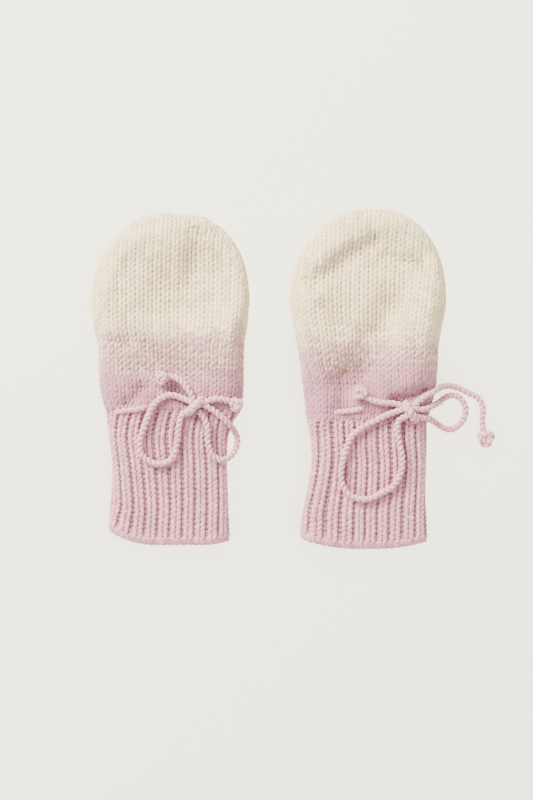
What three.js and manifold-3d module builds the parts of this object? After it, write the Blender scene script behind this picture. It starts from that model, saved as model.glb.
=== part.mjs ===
// A pair of thumbless baby mittens, knitted in the round in two colours of soft yarn and laid flat side by side.
// Each mitten is a stocking-stitch hand with a round tip, a ribbed cuff, and a twisted drawstring that runs
// through the wrist and is tied in a bow with a knot at each free end.
// Millimetres, +X to the right, +Y towards the fingertips, +Z up. The mittens rest on the plane z = 0.

import * as THREE from "three";
import { mergeVertices } from "three/addons/utils/BufferGeometryUtils.js";
import Module from "manifold-3d";

const wasm = await Module();
wasm.setup();

// Driving dimensions of the knitted cloth.
const WALL = 2.6;
const SEAM_GAP = 0.3;
const FOLD_HEIGHT = 3.3;
const ROOF_RADIUS = 7.5;
const FLOOR_RADIUS = 4.2;
const PANEL_GAP = 0.5;
const HOLLOW_HEIGHT = 3.7;
const MOUTH_HEIGHT = 5.9;
const MOUTH_RADIUS = 5;

// The cuff's rib: knitted columns that stand up, with a narrow valley between each two.
const RIBS_AROUND = 20;
const RIBS_RAISED = 11;
const RIBS_KEPT = 4.5;
const MOVE_MARKS = [-7.5, -4.5, -3.5, -2.5, -1.5, -0.5, 0.5, 1.5, 2.5, 3.5, 6.5];
const RIB_DEPTH = 1.1;
const RIB_FADE = 3;
const RIB_PROFILE = [
  { phase: 0, drop: 0 },
  { phase: 0.3, drop: 0.2 },
  { phase: 0.5, drop: 1 },
  { phase: 0.7, drop: 0.2 },
];

// The drawstring, its bow and the knots at its ends.
const CORD_RADIUS = 1.35;
const CORD_SIDES = 8;
const CORD_STEP = 3.2;
const CORD_CLEARANCE = 0.35;
const CORD_DROOP = 0.06;
const KNOT_CORE = { x: 3.4, y: 2.8, z: 2.1 };
const END_KNOT_RISE = 0.9;
const END_KNOT_FILLING = { x: 0.85, z: 1.3 };

// How finely the cloth is built.
const HAND_RING = 32;
const HAND_ROWS = 11;
const DOME_ROWS = 8;
const CUFF_ROWS = 7;
const INNER_ROWS = 3;
const UNDERSIDE_POINTS = 12;
const SECTION_POINTS = 160;
const SMALLEST_EDGE = 0.06;

// Each mitten's own frame has its y axis up its middle and y = 0 at the wrist, where the hand meets the cuff.
// outline: the reach to the left and right of the axis, and the height of the cloth's roof, at each y.
// domePower: how square each side of the fingertips is, where 2 is an ellipse's arc.
// ribShift, ribPitch: how far the middle rib lies from the axis, and the next rib from it.
// ribMoves: rows of y and how far the ribs stray from their even places there, at the marks between the ends.
// folds: soft troughs in the roof, along a curve through three points; a negative depth is a swelling.
// The drawstring's routes are lists of x, y points; the height comes from what the cord lies on.
const LEFT = {
  name: "left",
  axisX: -38.8,
  seamY: -13,
  tipY: 79.4,
  domeY: 42.4,
  domePower: { left: 2.08, right: 2.35 },
  ribShift: 3,
  ribPitch: 4.88,
  ribMoves: [
    [-54, -3, -1.3, -0.6, -0.5, -0.4, 0, 0, 0, 0],
    [-40, 0, 0, 0, 0, 0, 0, 0, 0, 0],
    [-12, -2.2, -2.3, -2.1, -1.6, -1.1, -0.2, 0, -0.3, -0.3],
  ],
  outline: [
    { y: -54, left: 25.5, right: 23.6, roof: 7.8 },
    { y: -47, left: 25, right: 23.3, roof: 8 },
    { y: -35, left: 24.1, right: 23, roof: 8 },
    { y: -21, left: 24.1, right: 22.6, roof: 8.2 },
    { y: -11, left: 25.2, right: 22.9, roof: 8.5 },
    { y: -4, left: 25.8, right: 25.5, roof: 8.7 },
    { y: 0, left: 26.2, right: 27.9, roof: 8.8 },
    { y: 6, left: 28, right: 28.9, roof: 9.4 },
    { y: 15, left: 28.9, right: 29, roof: 9.8 },
    { y: 26, left: 29.3, right: 29.2, roof: 9.6 },
    { y: 33, left: 30.8, right: 30.3, roof: 9.8 },
    { y: 42.4, left: 32, right: 31.3, roof: 9.8 },
    { y: 79.4, left: 32, right: 31.3, roof: 9.7 },
  ],
  mouth: { leftFrom: -7, leftLift: 6.2, rightFrom: 13, rightLift: 1.8 },
  folds: [
    { x0: -22, y0: 18, x1: -21, y1: 38, x2: -17, y2: 56, width: 6, depth: 1.4 },
    { x0: -20, y0: 48, x1: -18, y1: 62, x2: -8, y2: 68, width: 4.5, depth: 1.2 },
    { x0: 9.4, y0: 70, x1: 10.6, y1: 62, x2: 7, y2: 52, width: 4.4, depth: 2.3 },
    { x0: -8, y0: 58, x1: -1, y1: 52, x2: 0, y2: 42, width: 9, depth: 2.2 },
    { x0: -8, y0: 24, x1: -2, y1: 19, x2: 6, y2: 15, width: 5, depth: 1.2 },
    { x0: -2.4, y0: 11.5, x1: 2.4, y1: 8, x2: 7.6, y2: 3.8, width: 2.6, depth: 2.6 },
    { x0: -17, y0: 3, x1: -14, y1: 5, x2: -12, y2: 9, width: 2.6, depth: 1.4 },
    { x0: 19, y0: 46, x1: 20, y1: 34, x2: 14, y2: 24, width: 8, depth: -1.1 },
    { x0: -20, y0: 12, x1: -22, y1: 14, x2: -20, y2: 18, width: 4, depth: -0.5 },
    { x0: -22, y0: 47, x1: -17, y1: 59, x2: 10, y2: 71, width: 8, depth: -1.5 },
    { x0: -2, y0: 45, x1: 20, y1: 32, x2: 17, y2: 57, width: 8.5, depth: 1.5 },
    { x0: 13, y0: 43, x1: 19, y1: 55, x2: 20, y2: 68, width: 9, depth: 1.5 },
    { x0: -21, y0: 34, x1: -21, y1: 60, x2: -7, y2: 69, width: 6, depth: -1.1 },
    { x0: 19, y0: 11, x1: 23, y1: 23, x2: 30, y2: 38, width: 8.5, depth: -1.5 },
    { x0: -11, y0: 23, x1: -26, y1: 20, x2: -22, y2: 31, width: 5.5, depth: -1 },
    { x0: 24, y0: 34, x1: -16, y1: 25, x2: -23, y2: 48, width: 9, depth: -1 },
    { x0: -16, y0: 13, x1: -9, y1: 12, x2: 4, y2: 14, width: 9, depth: 1.1 },
    { x0: 17, y0: 71, x1: -4, y1: 83, x2: -20, y2: 69, width: 4.3, depth: 0.8 },
    { x0: 25, y0: 32, x1: 31, y1: 10, x2: 9, y2: 32, width: 4.5, depth: -0.9 },
  ],
  knot: { x: 9.9, y: 1.8 },
  wrap: [
    { x: -3, y: -2.6, rise: -1.2 },
    { x: -2.2, y: -1.8, rise: 0.9 },
    { x: 0, y: 0, rise: 2.2 },
    { x: 1.9, y: 1.9, rise: 0.9 },
    { x: 2.5, y: 2.9, rise: -1.2 },
  ],
  wrist: [
    { x: 9, y: 1, inside: 0 },
    { x: 6.6, y: 1.4, inside: 0.4 },
    { x: 3, y: 1.8, inside: 1 },
    { x: -5, y: 1.9, inside: 1 },
    { x: -8.4, y: 1.6, inside: 0.6 },
    { x: -11.4, y: 0.8, inside: 0 },
    { x: -15.8, y: 0.1, inside: 0 },
    { x: -19.6, y: -0.3, inside: 0 },
    { x: -21.8, y: -0.6, inside: 0.4 },
    { x: -20, y: -1.8, inside: 1 },
    { x: -10, y: -2, inside: 1 },
    { x: 0, y: -2, inside: 1 },
    { x: 9, y: -2, inside: 1 },
    { x: 12.4, y: -1.5, inside: 0.5 },
    { x: 12.8, y: 0.2, inside: 0 },
  ],
  strands: [
    {
      name: "loop_left",
      route: [
        [8.9, 3.2], [6, 4.4], [2.4, 5.7], [-0.3, 6.2], [-3.6, 5], [-6.6, 2.4], [-9.8, -4.6], [-12.2, -12.2],
        [-11.2, -18], [-5.4, -21.3], [0.3, -19.4], [2.6, -12.4], [3.4, -6.4], [4.6, -1.6], [8, 0],
      ],
    },
    {
      name: "loop_right",
      route: [
        [11, -0.4], [12.9, -2.2], [14.6, -6], [14.9, -13.4], [16.8, -18], [20.8, -19.8],
        [24.6, -17.6], [26.6, -12], [24.8, -7.4], [21.2, -3.4], [17.4, -0.2], [14.4, 1.7], [12, 2.7],
      ],
    },
    {
      name: "tail_up",
      route: [[9.9, 2], [8.3, 6.2], [5.6, 10.2], [2.6, 12.8], [-0.2, 13.6]],
      knot: { x: -3.4, y: 13.1, reach: 1.9, turn: 100 },
    },
    {
      name: "tail_side",
      route: [[10.2, 2], [14.6, 3.8], [18.6, 4.7], [22.6, 4], [25, 3.2]],
      knot: { x: 26.2, y: 2.4, reach: 1.8, turn: -20 },
    },
  ],
};

const RIGHT = {
  name: "right",
  axisX: 41.2,
  seamY: -13.8,
  tipY: 81.8,
  domeY: 44,
  domePower: { left: 2.1, right: 2.3 },
  ribShift: 1.4,
  ribPitch: 5.2,
  ribMoves: [
    [-54.8, -0.7, 1.2, 1.8, 2.4, 1.4, 1.1, 0.5, 0.7, 1],
    [-43, -0.7, 1.2, 1.8, 2.4, 1.4, 1.1, 0.5, 0.7, 1],
    [-15, 2, 2.7, 2.3, 1.3, 0.3, -0.3, -0.5, -0.3, -0.5],
  ],
  outline: [
    { y: -54.8, left: 28.5, right: 22.6, roof: 7.8 },
    { y: -47, left: 28.1, right: 22.6, roof: 8 },
    { y: -40, left: 27.2, right: 22.1, roof: 8 },
    { y: -33, left: 25.7, right: 22.1, roof: 8 },
    { y: -21, left: 24.1, right: 22.4, roof: 8.2 },
    { y: -12, left: 24.7, right: 22.4, roof: 8.5 },
    { y: -4, left: 25.7, right: 22.6, roof: 8.8 },
    { y: 1, left: 26.1, right: 23.8, roof: 9 },
    { y: 7, left: 26.8, right: 25.4, roof: 10.1 },
    { y: 15, left: 27.6, right: 26.5, roof: 11.1 },
    { y: 25, left: 29.2, right: 27, roof: 11.3 },
    { y: 31, left: 30.3, right: 27.8, roof: 11.1 },
    { y: 44, left: 32.4, right: 30.1, roof: 10.7 },
    { y: 81.8, left: 32.4, right: 30.1, roof: 10.3 },
  ],
  mouth: { leftFrom: -6, leftLift: 4.4, rightFrom: 2, rightLift: 3 },
  folds: [
    { x0: -23, y0: 52, x1: -12, y1: 62, x2: 1.4, y2: 68.6, width: 4.8, depth: 3 },
    { x0: 1.4, y0: 68.6, x1: 2.4, y1: 73, x2: 2, y2: 76, width: 4, depth: 0.7 },
    { x0: 6, y0: 63, x1: 12, y1: 60, x2: 19, y2: 59, width: 3, depth: 1.5 },
    { x0: 8.4, y0: 56, x1: 7.6, y1: 46, x2: 3, y2: 34, width: 5, depth: 1.6 },
    { x0: -1, y0: 31, x1: -6, y1: 24, x2: -9, y2: 13, width: 6, depth: 2 },
    { x0: -17, y0: 32, x1: -17, y1: 24, x2: -14, y2: 16, width: 6, depth: 0.8 },
    { x0: -10.4, y0: 14, x1: -11.4, y1: 8, x2: -11, y2: 3.6, width: 3, depth: 1.3 },
    { x0: 9.4, y0: 4.8, x1: 14, y1: 5, x2: 21, y2: 9, width: 2.6, depth: 2.8 },
    { x0: 15, y0: 44, x1: 13, y1: 34, x2: 9, y2: 25, width: 6, depth: -1.5 },
    { x0: 20, y0: 52, x1: 21, y1: 43, x2: 18, y2: 32, width: 7, depth: -1.1 },
    { x0: 4, y0: 20, x1: 8, y1: 16, x2: 14, y2: 16, width: 6, depth: -1 },
    { x0: -19, y0: 14, x1: -19.5, y1: 8, x2: -19, y2: -1, width: 4.4, depth: -1.1 },
    { x0: -4, y0: 13, x1: 18, y1: 53, x2: 22, y2: 65, width: 6, depth: 1.5 },
    { x0: 16, y0: 12, x1: 25, y1: 30, x2: 25, y2: 48, width: 8, depth: -1.8 },
    { x0: -22, y0: 48, x1: -23, y1: 66, x2: 3, y2: 71, width: 4.5, depth: -1.5 },
    { x0: -16, y0: 16, x1: -1, y1: 12, x2: 5, y2: 25, width: 4.7, depth: 0.9 },
    { x0: 0, y0: 59, x1: 4, y1: 60, x2: 10, y2: 68, width: 5.4, depth: 1.3 },
    { x0: -7, y0: 28, x1: -24, y1: 19, x2: -23, y2: 58, width: 8, depth: -1.2 },
    { x0: 11, y0: 15, x1: 4, y1: 20, x2: -23, y2: 9, width: 4.8, depth: 0.8 },
    { x0: 17, y0: 20, x1: 24, y1: 40, x2: 28, y2: 46, width: 9, depth: -0.8 },
    { x0: -5, y0: 12, x1: 1, y1: 22, x2: -7, y2: 49, width: 9, depth: 1 },
    { x0: 8, y0: 40, x1: 19, y1: 58, x2: 2, y2: 59, width: 4.4, depth: 1.1 },
  ],
  knot: { x: 15.4, y: 0.4 },
  wrap: [
    { x: -2.1, y: 3.2, rise: -1.1 },
    { x: -1.5, y: 2.2, rise: 0.9 },
    { x: -0.3, y: 0, rise: 2.2 },
    { x: 1.1, y: -2.2, rise: 0.9 },
    { x: 1.9, y: -3.2, rise: -1.1 },
  ],
  wrist: [
    { x: 14, y: 1, inside: 0 },
    { x: 11.6, y: 1.4, inside: 0.4 },
    { x: 8, y: 1.8, inside: 1 },
    { x: 2, y: 1.9, inside: 1 },
    { x: -1.6, y: 1.8, inside: 0.6 },
    { x: -4.6, y: 1.3, inside: 0 },
    { x: -8.4, y: 0.6, inside: 0 },
    { x: -12.4, y: 0.2, inside: 0 },
    { x: -15, y: 0, inside: 0.4 },
    { x: -14, y: -1.8, inside: 1 },
    { x: -6, y: -2, inside: 1 },
    { x: 4, y: -2, inside: 1 },
    { x: 13.4, y: -2, inside: 1 },
    { x: 17.2, y: -1.5, inside: 0.5 },
    { x: 17.8, y: 0, inside: 0 },
  ],
  strands: [
    {
      name: "loop_left",
      route: [
        [14, 1.7], [11.6, 1], [6, -1], [1.2, -3.4], [-3.6, -5.8], [-8, -9.6], [-10.6, -16], [-12.2, -25.6],
        [-10.4, -31], [-6.1, -34.1], [-1.2, -34.4], [3.6, -32.2], [8.6, -29.2], [11.6, -23.8],
        [12.2, -18.2], [11, -12.2], [10, -6.4], [11, -2.9], [13.8, -1.5],
      ],
    },
    {
      name: "loop_right",
      route: [
        [16.6, 1.7], [20.2, 1.2], [24, 2.4], [27.6, 4.2], [30, 6], [33.4, 6.9], [36.4, 5.4], [38.3, 0.6],
        [36.4, -4.2], [32.4, -6.9], [28.6, -6], [24, -2.9], [20.6, -2.1], [17, -1.7],
      ],
    },
    {
      name: "tail_up",
      route: [[15.2, 1.4], [11.6, 2.9], [8.8, 3.6], [4.4, 3.9], [0.4, 4.8], [-2, 6.2]],
      knot: { x: -4.6, y: 7.8, reach: 2, turn: 70 },
    },
    {
      name: "tail_side",
      route: [
        [15.6, 1.6], [17.6, 3.6], [20.8, 6.2], [24.8, 8.2], [28, 10.2], [31.8, 10.6], [35.4, 9.8],
        [39.4, 7.8], [42.8, 6.2], [44.9, 3.2], [45.1, 0.2], [44.8, -3], [45.1, -6.4],
      ],
      knot: { x: 46.2, y: -10.4, reach: 2.6, turn: 0 },
    },
  ],
};

// Plies of the yarn colours, for each sub-part's material.
const CREAM = 0xe6dccb;
const BLUSH = 0xdcbdbe;
const PINK = 0xd9b3b6;

function knitMaterial(colour) {
  return new THREE.MeshStandardMaterial({ color: colour, roughness: 0.95, metalness: 0 });
}

// The value of one column of a table at y, on a smooth curve through its rows.
function sample(rows, column, y) {
  const last = rows.length - 1;
  let i = 0;
  while (i < last - 1 && y > rows[i + 1].y) i += 1;
  const a = rows[i];
  const b = rows[i + 1];
  const before = rows[Math.max(i - 1, 0)];
  const after = rows[Math.min(i + 2, last)];
  const span = b.y - a.y;
  const t = Math.min(1, Math.max(0, (y - a.y) / span));
  const slopeA = (span * (b[column] - before[column])) / (b.y - before.y);
  const slopeB = (span * (after[column] - a[column])) / (after.y - a.y);
  const t2 = t * t;
  const t3 = t2 * t;
  const start = (2 * t3 - 3 * t2 + 1) * a[column] + (t3 - 2 * t2 + t) * slopeA;
  return start + (3 * t2 - 2 * t3) * b[column] + (t3 - t2) * slopeB;
}

// A quarter round that rises from 0 at the edge to 1 at the radius.
function quarterRound(distance, radius) {
  const share = Math.min(1, Math.max(0, distance / radius));
  return Math.sqrt(1 - (1 - share) ** 2);
}

// The outline's left and right x at height y, moved in by the inset.
function edgesAt(m, y, inset) {
  if (y <= m.domeY) {
    return [inset - sample(m.outline, "left", y), sample(m.outline, "right", y) - inset];
  }
  const widest = m.outline[m.outline.length - 1];
  const rise = Math.min(1, (y - m.domeY) / (m.tipY - inset - m.domeY));
  const share = (power) => (1 - rise ** power) ** (1 / power);
  return [(inset - widest.left) * share(m.domePower.left), (widest.right - inset) * share(m.domePower.right)];
}

// How far a point is inside the outline, in any direction; the dome's curve counts as well as the sides.
function insideBy(m, x, y, inset) {
  const [left, right] = edgesAt(m, y, inset);
  const across = Math.min(x - left, right - x);
  if (across <= 0) return across;
  const widest = m.outline[m.outline.length - 1];
  const side = x < 0 ? "left" : "right";
  const power = m.domePower[side];
  const reach = widest[side] - inset;
  const share = (1 - Math.min(1, Math.abs(x) / reach) ** power) ** (1 / power);
  const up = m.domeY + (m.tipY - inset - m.domeY) * share - y;
  return up <= 0 ? up : (across * up) / Math.hypot(across, up);
}

// How far a point is from a curve through three points, found along short straight steps.
function distanceToFold(fold, x, y) {
  const steps = 10;
  let best = Infinity;
  for (let i = 0; i <= steps; i += 1) {
    const t = i / steps;
    const a = (1 - t) ** 2;
    const b = 2 * t * (1 - t);
    const c = t * t;
    const dx = a * fold.x0 + b * fold.x1 + c * fold.x2 - x;
    const dy = a * fold.y0 + b * fold.y1 + c * fold.y2 - y;
    best = Math.min(best, Math.hypot(dx, dy));
  }
  return best;
}

// The height of the cloth's upper surface away from its edges, with its folds and swellings.
function roofAt(m, x, y) {
  let roof = sample(m.outline, "roof", y);
  for (const fold of m.folds) {
    roof -= fold.depth * Math.exp(-((distanceToFold(fold, x, y) / fold.width) ** 2));
  }
  const lip = quarterRound(y - m.outline[0].y, MOUTH_RADIUS);
  roof = MOUTH_HEIGHT + (roof - MOUTH_HEIGHT) * lip;
  return Math.max(roof, 2 * WALL + PANEL_GAP);
}

// Inside, the panels lie close to each other, and where the roof swells the cloth is thicker.
function upperSurface(m, x, y, inset) {
  const round = quarterRound(insideBy(m, x, y, inset), ROOF_RADIUS - inset);
  let roof = roofAt(m, x, y) - inset;
  if (inset > 0) roof = Math.min(roof, inset + HOLLOW_HEIGHT);
  return FOLD_HEIGHT + (roof - FOLD_HEIGHT) * round;
}

function lowerSurface(m, x, y, inset) {
  const round = quarterRound(insideBy(m, x, y, inset), FLOOR_RADIUS - inset);
  return FOLD_HEIGHT + (inset - FOLD_HEIGHT) * round;
}

// One closed cross-section at y: over the top from left to right, and back along the underside.
// Its points are close together, and each holds the length run so far.
function sectionAt(m, y, inset) {
  const [left, right] = edgesAt(m, y, inset);
  const half = SECTION_POINTS / 2;
  const points = [];
  for (let i = 0; i < SECTION_POINTS; i += 1) {
    const over = i < half;
    const t = over ? i / half : (i - half) / half;
    const share = (1 - Math.cos(Math.PI * t)) / 2;
    const x = over ? left + (right - left) * share : right - (right - left) * share;
    const z = over ? upperSurface(m, x, y, inset) : lowerSurface(m, x, y, inset);
    points.push({ x, z });
  }
  points.push({ ...points[0] });
  let run = 0;
  points.forEach((p, i) => {
    if (i > 0) run += Math.hypot(p.x - points[i - 1].x, p.z - points[i - 1].z);
    p.run = run;
  });
  return { points, middle: points[Math.round(half / 2)].run, around: run };
}

// The point of a section at a signed length from the middle of its top, and the way out of the cloth there.
function pointAlong(section, length) {
  const at = (((section.middle + length) % section.around) + section.around) % section.around;
  let i = 1;
  while (section.points[i].run < at) i += 1;
  const a = section.points[i - 1];
  const b = section.points[i];
  const t = (at - a.run) / Math.max(b.run - a.run, 1e-9);
  const long = Math.max(Math.hypot(b.x - a.x, b.z - a.z), 1e-9);
  return {
    x: a.x + t * (b.x - a.x),
    z: a.z + t * (b.z - a.z),
    outX: -(b.z - a.z) / long,
    outZ: (b.x - a.x) / long,
  };
}

// The mouth's edge isn't straight: its corners lie nearer to the wrist than its middle.
function mouthLift(m, x, y) {
  const low = m.outline[0];
  const fade = Math.max(0, y / low.y) ** 1.5;
  const left = Math.max(0, (m.mouth.leftFrom - x) / (low.left + m.mouth.leftFrom));
  const right = Math.max(0, (x - m.mouth.rightFrom) / (low.right - m.mouth.rightFrom));
  return fade * (m.mouth.leftLift * left ** 2 + m.mouth.rightLift * right ** 2);
}

// A ring of evenly spaced points around the hand.
function plainRing(m, y, inset) {
  const section = sectionAt(m, y, inset);
  const ring = [];
  for (let i = 0; i < HAND_RING; i += 1) {
    const p = pointAlong(section, ((i + 0.5) / HAND_RING) * section.around);
    ring.push([p.x, y, p.z]);
  }
  return ring;
}

// Where the cuff's points lie around it, counted in ribs from the middle of the top.
function cuffStations() {
  const stations = [];
  const firstRib = -(RIBS_RAISED - 1) / 2;
  for (let rib = 0; rib < RIBS_RAISED; rib += 1) {
    for (const step of RIB_PROFILE) {
      stations.push({ rib: firstRib + rib + step.phase, drop: step.drop });
    }
  }
  const start = stations[0].rib + RIBS_AROUND;
  const end = stations[stations.length - 1].rib;
  for (let i = 1; i <= UNDERSIDE_POINTS; i += 1) {
    stations.push({ rib: end + ((start - end) * i) / (UNDERSIDE_POINTS + 1), drop: 0 });
  }
  return stations;
}

// How far a rib strays from its even place at this y, as the photo shows it.
function ribMove(m, y, rib) {
  const share = (from, to, value) => Math.min(1, Math.max(0, (value - from) / (to - from)));
  const rows = m.ribMoves;
  let i = 0;
  while (i < rows.length - 2 && y > rows[i + 1][0]) i += 1;
  const up = share(rows[i][0], rows[i + 1][0], y);
  const moves = rows[i].map((value, k) => value + (rows[i + 1][k] - value) * up);
  moves[0] = 0;
  moves.push(0);
  let k = 0;
  while (k < MOVE_MARKS.length - 2 && rib > MOVE_MARKS[k + 1]) k += 1;
  return moves[k] + (moves[k + 1] - moves[k]) * share(MOVE_MARKS[k], MOVE_MARKS[k + 1], rib);
}

// The length along a ring at which a rib lies. Those on top keep their width, and those beneath share the rest.
function ribLength(m, y, around, rib) {
  const half = RIBS_AROUND / 2;
  const turned = rib > half ? rib - RIBS_AROUND : rib;
  const beyond = Math.max(0, Math.abs(turned) - RIBS_KEPT);
  const spare = (around / 2 - half * m.ribPitch) / (half - RIBS_KEPT);
  return m.ribShift + turned * m.ribPitch + Math.sign(turned) * beyond * spare + ribMove(m, y, turned);
}

// A ring around the cuff. Outside, the ribs stand up from the valleys; inside it is plain.
function ribbedRing(m, y, inset) {
  const section = sectionAt(m, y, inset);
  const fade = Math.min(1, (y - m.outline[0].y) / RIB_FADE);
  return cuffStations().map(({ rib, drop }) => {
    const p = pointAlong(section, ribLength(m, y, section.around, rib));
    const sunk = inset > 0 ? 0 : RIB_DEPTH * drop * fade * quarterRound(p.z, FOLD_HEIGHT);
    const x = p.x - p.outX * sunk;
    return [x, y + mouthLift(m, x, y), Math.max(0, p.z - p.outZ * sunk)];
  });
}

// A closed solid from rings of points: the outside from low to high y, and then the inside back down.
// With a tip, the outside ends in that point and the inside in its own.
function solidFromRings(outside, inside, tips) {
  const positions = [];
  const faces = [];
  const addRing = (ring) => {
    const first = positions.length / 3;
    ring.forEach((p) => positions.push(...p));
    return first;
  };
  const count = outside[0].length;
  const join = (a, b) => {
    for (let i = 0; i < count; i += 1) {
      const j = (i + 1) % count;
      faces.push(a + i, a + j, b + i, a + j, b + j, b + i);
    }
  };
  const outer = outside.map(addRing);
  const inner = inside.map(addRing);
  for (let i = 1; i < outer.length; i += 1) join(outer[i - 1], outer[i]);
  for (let i = 1; i < inner.length; i += 1) join(inner[i], inner[i - 1]);
  join(inner[0], outer[0]);
  if (tips) {
    const [top, underTop] = [addRing([tips[0]]), addRing([tips[1]])];
    const highest = outer[outer.length - 1];
    const highestInside = inner[inner.length - 1];
    for (let i = 0; i < count; i += 1) {
      const j = (i + 1) % count;
      faces.push(highest + i, highest + j, top);
      faces.push(highestInside + j, highestInside + i, underTop);
    }
  } else {
    join(outer[outer.length - 1], inner[inner.length - 1]);
  }
  const geometry = new THREE.BufferGeometry();
  geometry.setAttribute("position", new THREE.Float32BufferAttribute(positions, 3));
  geometry.setIndex(faces);
  return toSolid(geometry);
}

function toSolid(geometry) {
  geometry.deleteAttribute("normal");
  geometry.deleteAttribute("uv");
  const merged = mergeVertices(geometry, 1e-4);
  const mesh = new wasm.Mesh({
    numProp: 3,
    vertProperties: new Float32Array(merged.attributes.position.array),
    triVerts: new Uint32Array(merged.index.array),
  });
  return new wasm.Manifold(mesh);
}

function toGeometry(solid) {
  const mesh = solid.simplify(SMALLEST_EDGE).getMesh();
  const geometry = new THREE.BufferGeometry();
  geometry.setAttribute("position", new THREE.BufferAttribute(mesh.vertProperties, 3));
  geometry.setIndex(new THREE.BufferAttribute(mesh.triVerts, 1));
  geometry.computeVertexNormals();
  return geometry;
}

// The y of each ring of the hand: even steps up to the dome, and then steps that close up towards its tip.
function handRows(m, start, tip, rows, domeRows) {
  const list = [];
  for (let i = 0; i < rows; i += 1) list.push(start + ((m.domeY - start) * i) / rows);
  for (let i = 0; i < domeRows; i += 1) {
    const angle = ((Math.PI / 2) * i) / (domeRows - 0.3);
    list.push(m.domeY + (tip - m.domeY) * Math.sin(angle));
  }
  return list;
}

function makeHand(m) {
  const start = SEAM_GAP / 2;
  const outside = handRows(m, start, m.tipY, HAND_ROWS, DOME_ROWS).map((y) => plainRing(m, y, 0));
  const tipInside = m.tipY - WALL;
  const inside = handRows(m, start, tipInside, HAND_ROWS - 4, DOME_ROWS - 2).map((y) => plainRing(m, y, WALL));
  const tips = [
    [0, m.tipY, FOLD_HEIGHT],
    [0, tipInside, FOLD_HEIGHT],
  ];
  return solidFromRings(outside, inside, tips);
}

function makeCuff(m) {
  const top = -SEAM_GAP / 2;
  const mouth = m.outline[0].y;
  const rows = (count) => {
    const list = [mouth, mouth + 0.7, mouth + 2.2, mouth + MOUTH_RADIUS];
    for (let i = 1; i <= count; i += 1) list.push(list[3] + ((top - list[3]) * i) / count);
    return list;
  };
  const outside = rows(CUFF_ROWS).map((y) => ribbedRing(m, y, 0));
  const inside = rows(INNER_ROWS).map((y) => ribbedRing(m, y, WALL));
  return solidFromRings(outside, inside, null);
}

function smoothCurve(points) {
  return new THREE.CatmullRomCurve3(points, false, "centripetal");
}

// A closed round tube along points, with flat ends.
function tube(points, radius) {
  const curve = smoothCurve(points);
  const outline = new THREE.Shape();
  for (let i = 0; i < CORD_SIDES; i += 1) {
    const angle = (2 * Math.PI * i) / CORD_SIDES;
    const corner = [radius * Math.cos(angle), radius * Math.sin(angle)];
    if (i === 0) outline.moveTo(...corner);
    else outline.lineTo(...corner);
  }
  const steps = Math.ceil(curve.getLength() / CORD_STEP);
  return toSolid(new THREE.ExtrudeGeometry(outline, { steps, bevelEnabled: false, extrudePath: curve }));
}

// How high the middle of a cord lies when it rests on the mitten, on the cords laid so far or on the floor.
function restingHeight(m, x, y, laid) {
  const reach = CORD_RADIUS + CORD_CLEARANCE;
  const apart = CORD_RADIUS + reach;
  let height = CORD_RADIUS + 0.05;
  for (const p of laid) {
    const away = Math.hypot(p.x - x, p.y - y);
    if (away < apart) height = Math.max(height, p.z + Math.sqrt(apart ** 2 - away ** 2));
  }
  for (const share of [0, 0.5, 0.85]) {
    const lift = Math.sqrt(reach ** 2 - (share * reach) ** 2);
    for (let i = 0; i < 8; i += 1) {
      const angle = (Math.PI * i) / 4;
      const px = x + share * reach * Math.cos(angle);
      const py = y + share * reach * Math.sin(angle);
      if (insideBy(m, px, py, 0) > 0) height = Math.max(height, upperSurface(m, px, py, 0) + lift);
    }
  }
  return height;
}

// A strand's points in space: the flat route in short steps, let down until it lies on what is under it.
// An end that starts in the bow's knot is held at the knot's height.
function layStrand(m, route, laid, heldEnds) {
  const flat = new THREE.CatmullRomCurve3(
    route.map(([x, y]) => new THREE.Vector3(x, y, 0)),
    false,
    "centripetal",
  );
  const points = flat.getSpacedPoints(Math.ceil(flat.getLength()));
  const rest = points.map((p) => restingHeight(m, p.x, p.y, laid));
  const knotHeight = knotCentre(m).z;
  const last = points.length - 1;
  const height = rest.map((z) => Math.max(z, knotHeight));
  const isHeld = (i) => (i === 0 && heldEnds.first) || (i === last && heldEnds.last);
  for (let round = 0; round < 800; round += 1) {
    for (let i = 0; i <= last; i += 1) {
      if (isHeld(i)) continue;
      const before = height[Math.max(i - 1, 0)];
      const after = height[Math.min(i + 1, last)];
      height[i] = Math.max(rest[i], (before + after) / 2 - CORD_DROOP);
    }
  }
  return points.map((p, i) => new THREE.Vector3(p.x, p.y, height[i]));
}

// The part of a strand that lies clear of the bow's knot, where other strands can rest on it.
function clearOfKnot(m, points) {
  const centre = knotCentre(m);
  return points.filter((p) => p.distanceTo(centre) > KNOT_CORE.x + 2 * CORD_RADIUS);
}

function knotCentre(m) {
  const z = upperSurface(m, m.knot.x, m.knot.y, 0) + KNOT_CORE.z + 0.6;
  return new THREE.Vector3(m.knot.x, m.knot.y, z);
}

// The body of the bow's knot, grown by a margin: a flattened ball.
function knotCore(m, margin) {
  const ball = new THREE.SphereGeometry(1, 14, 9);
  ball.scale(KNOT_CORE.x + margin, KNOT_CORE.y + margin, KNOT_CORE.z + margin);
  const { x, y, z } = knotCentre(m);
  ball.translate(x, y, z);
  return toSolid(ball);
}

// The strand that crosses over the knot's body and holds it together.
function makeWrap(m, margin) {
  const centre = knotCentre(m);
  const arch = m.wrap.map(({ x, y, rise }) => new THREE.Vector3(centre.x + x, centre.y + y, centre.z + rise));
  return tube(arch, CORD_RADIUS + margin);
}

function makeBowKnot(m) {
  return knotCore(m, 0).add(makeWrap(m, 0));
}

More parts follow.
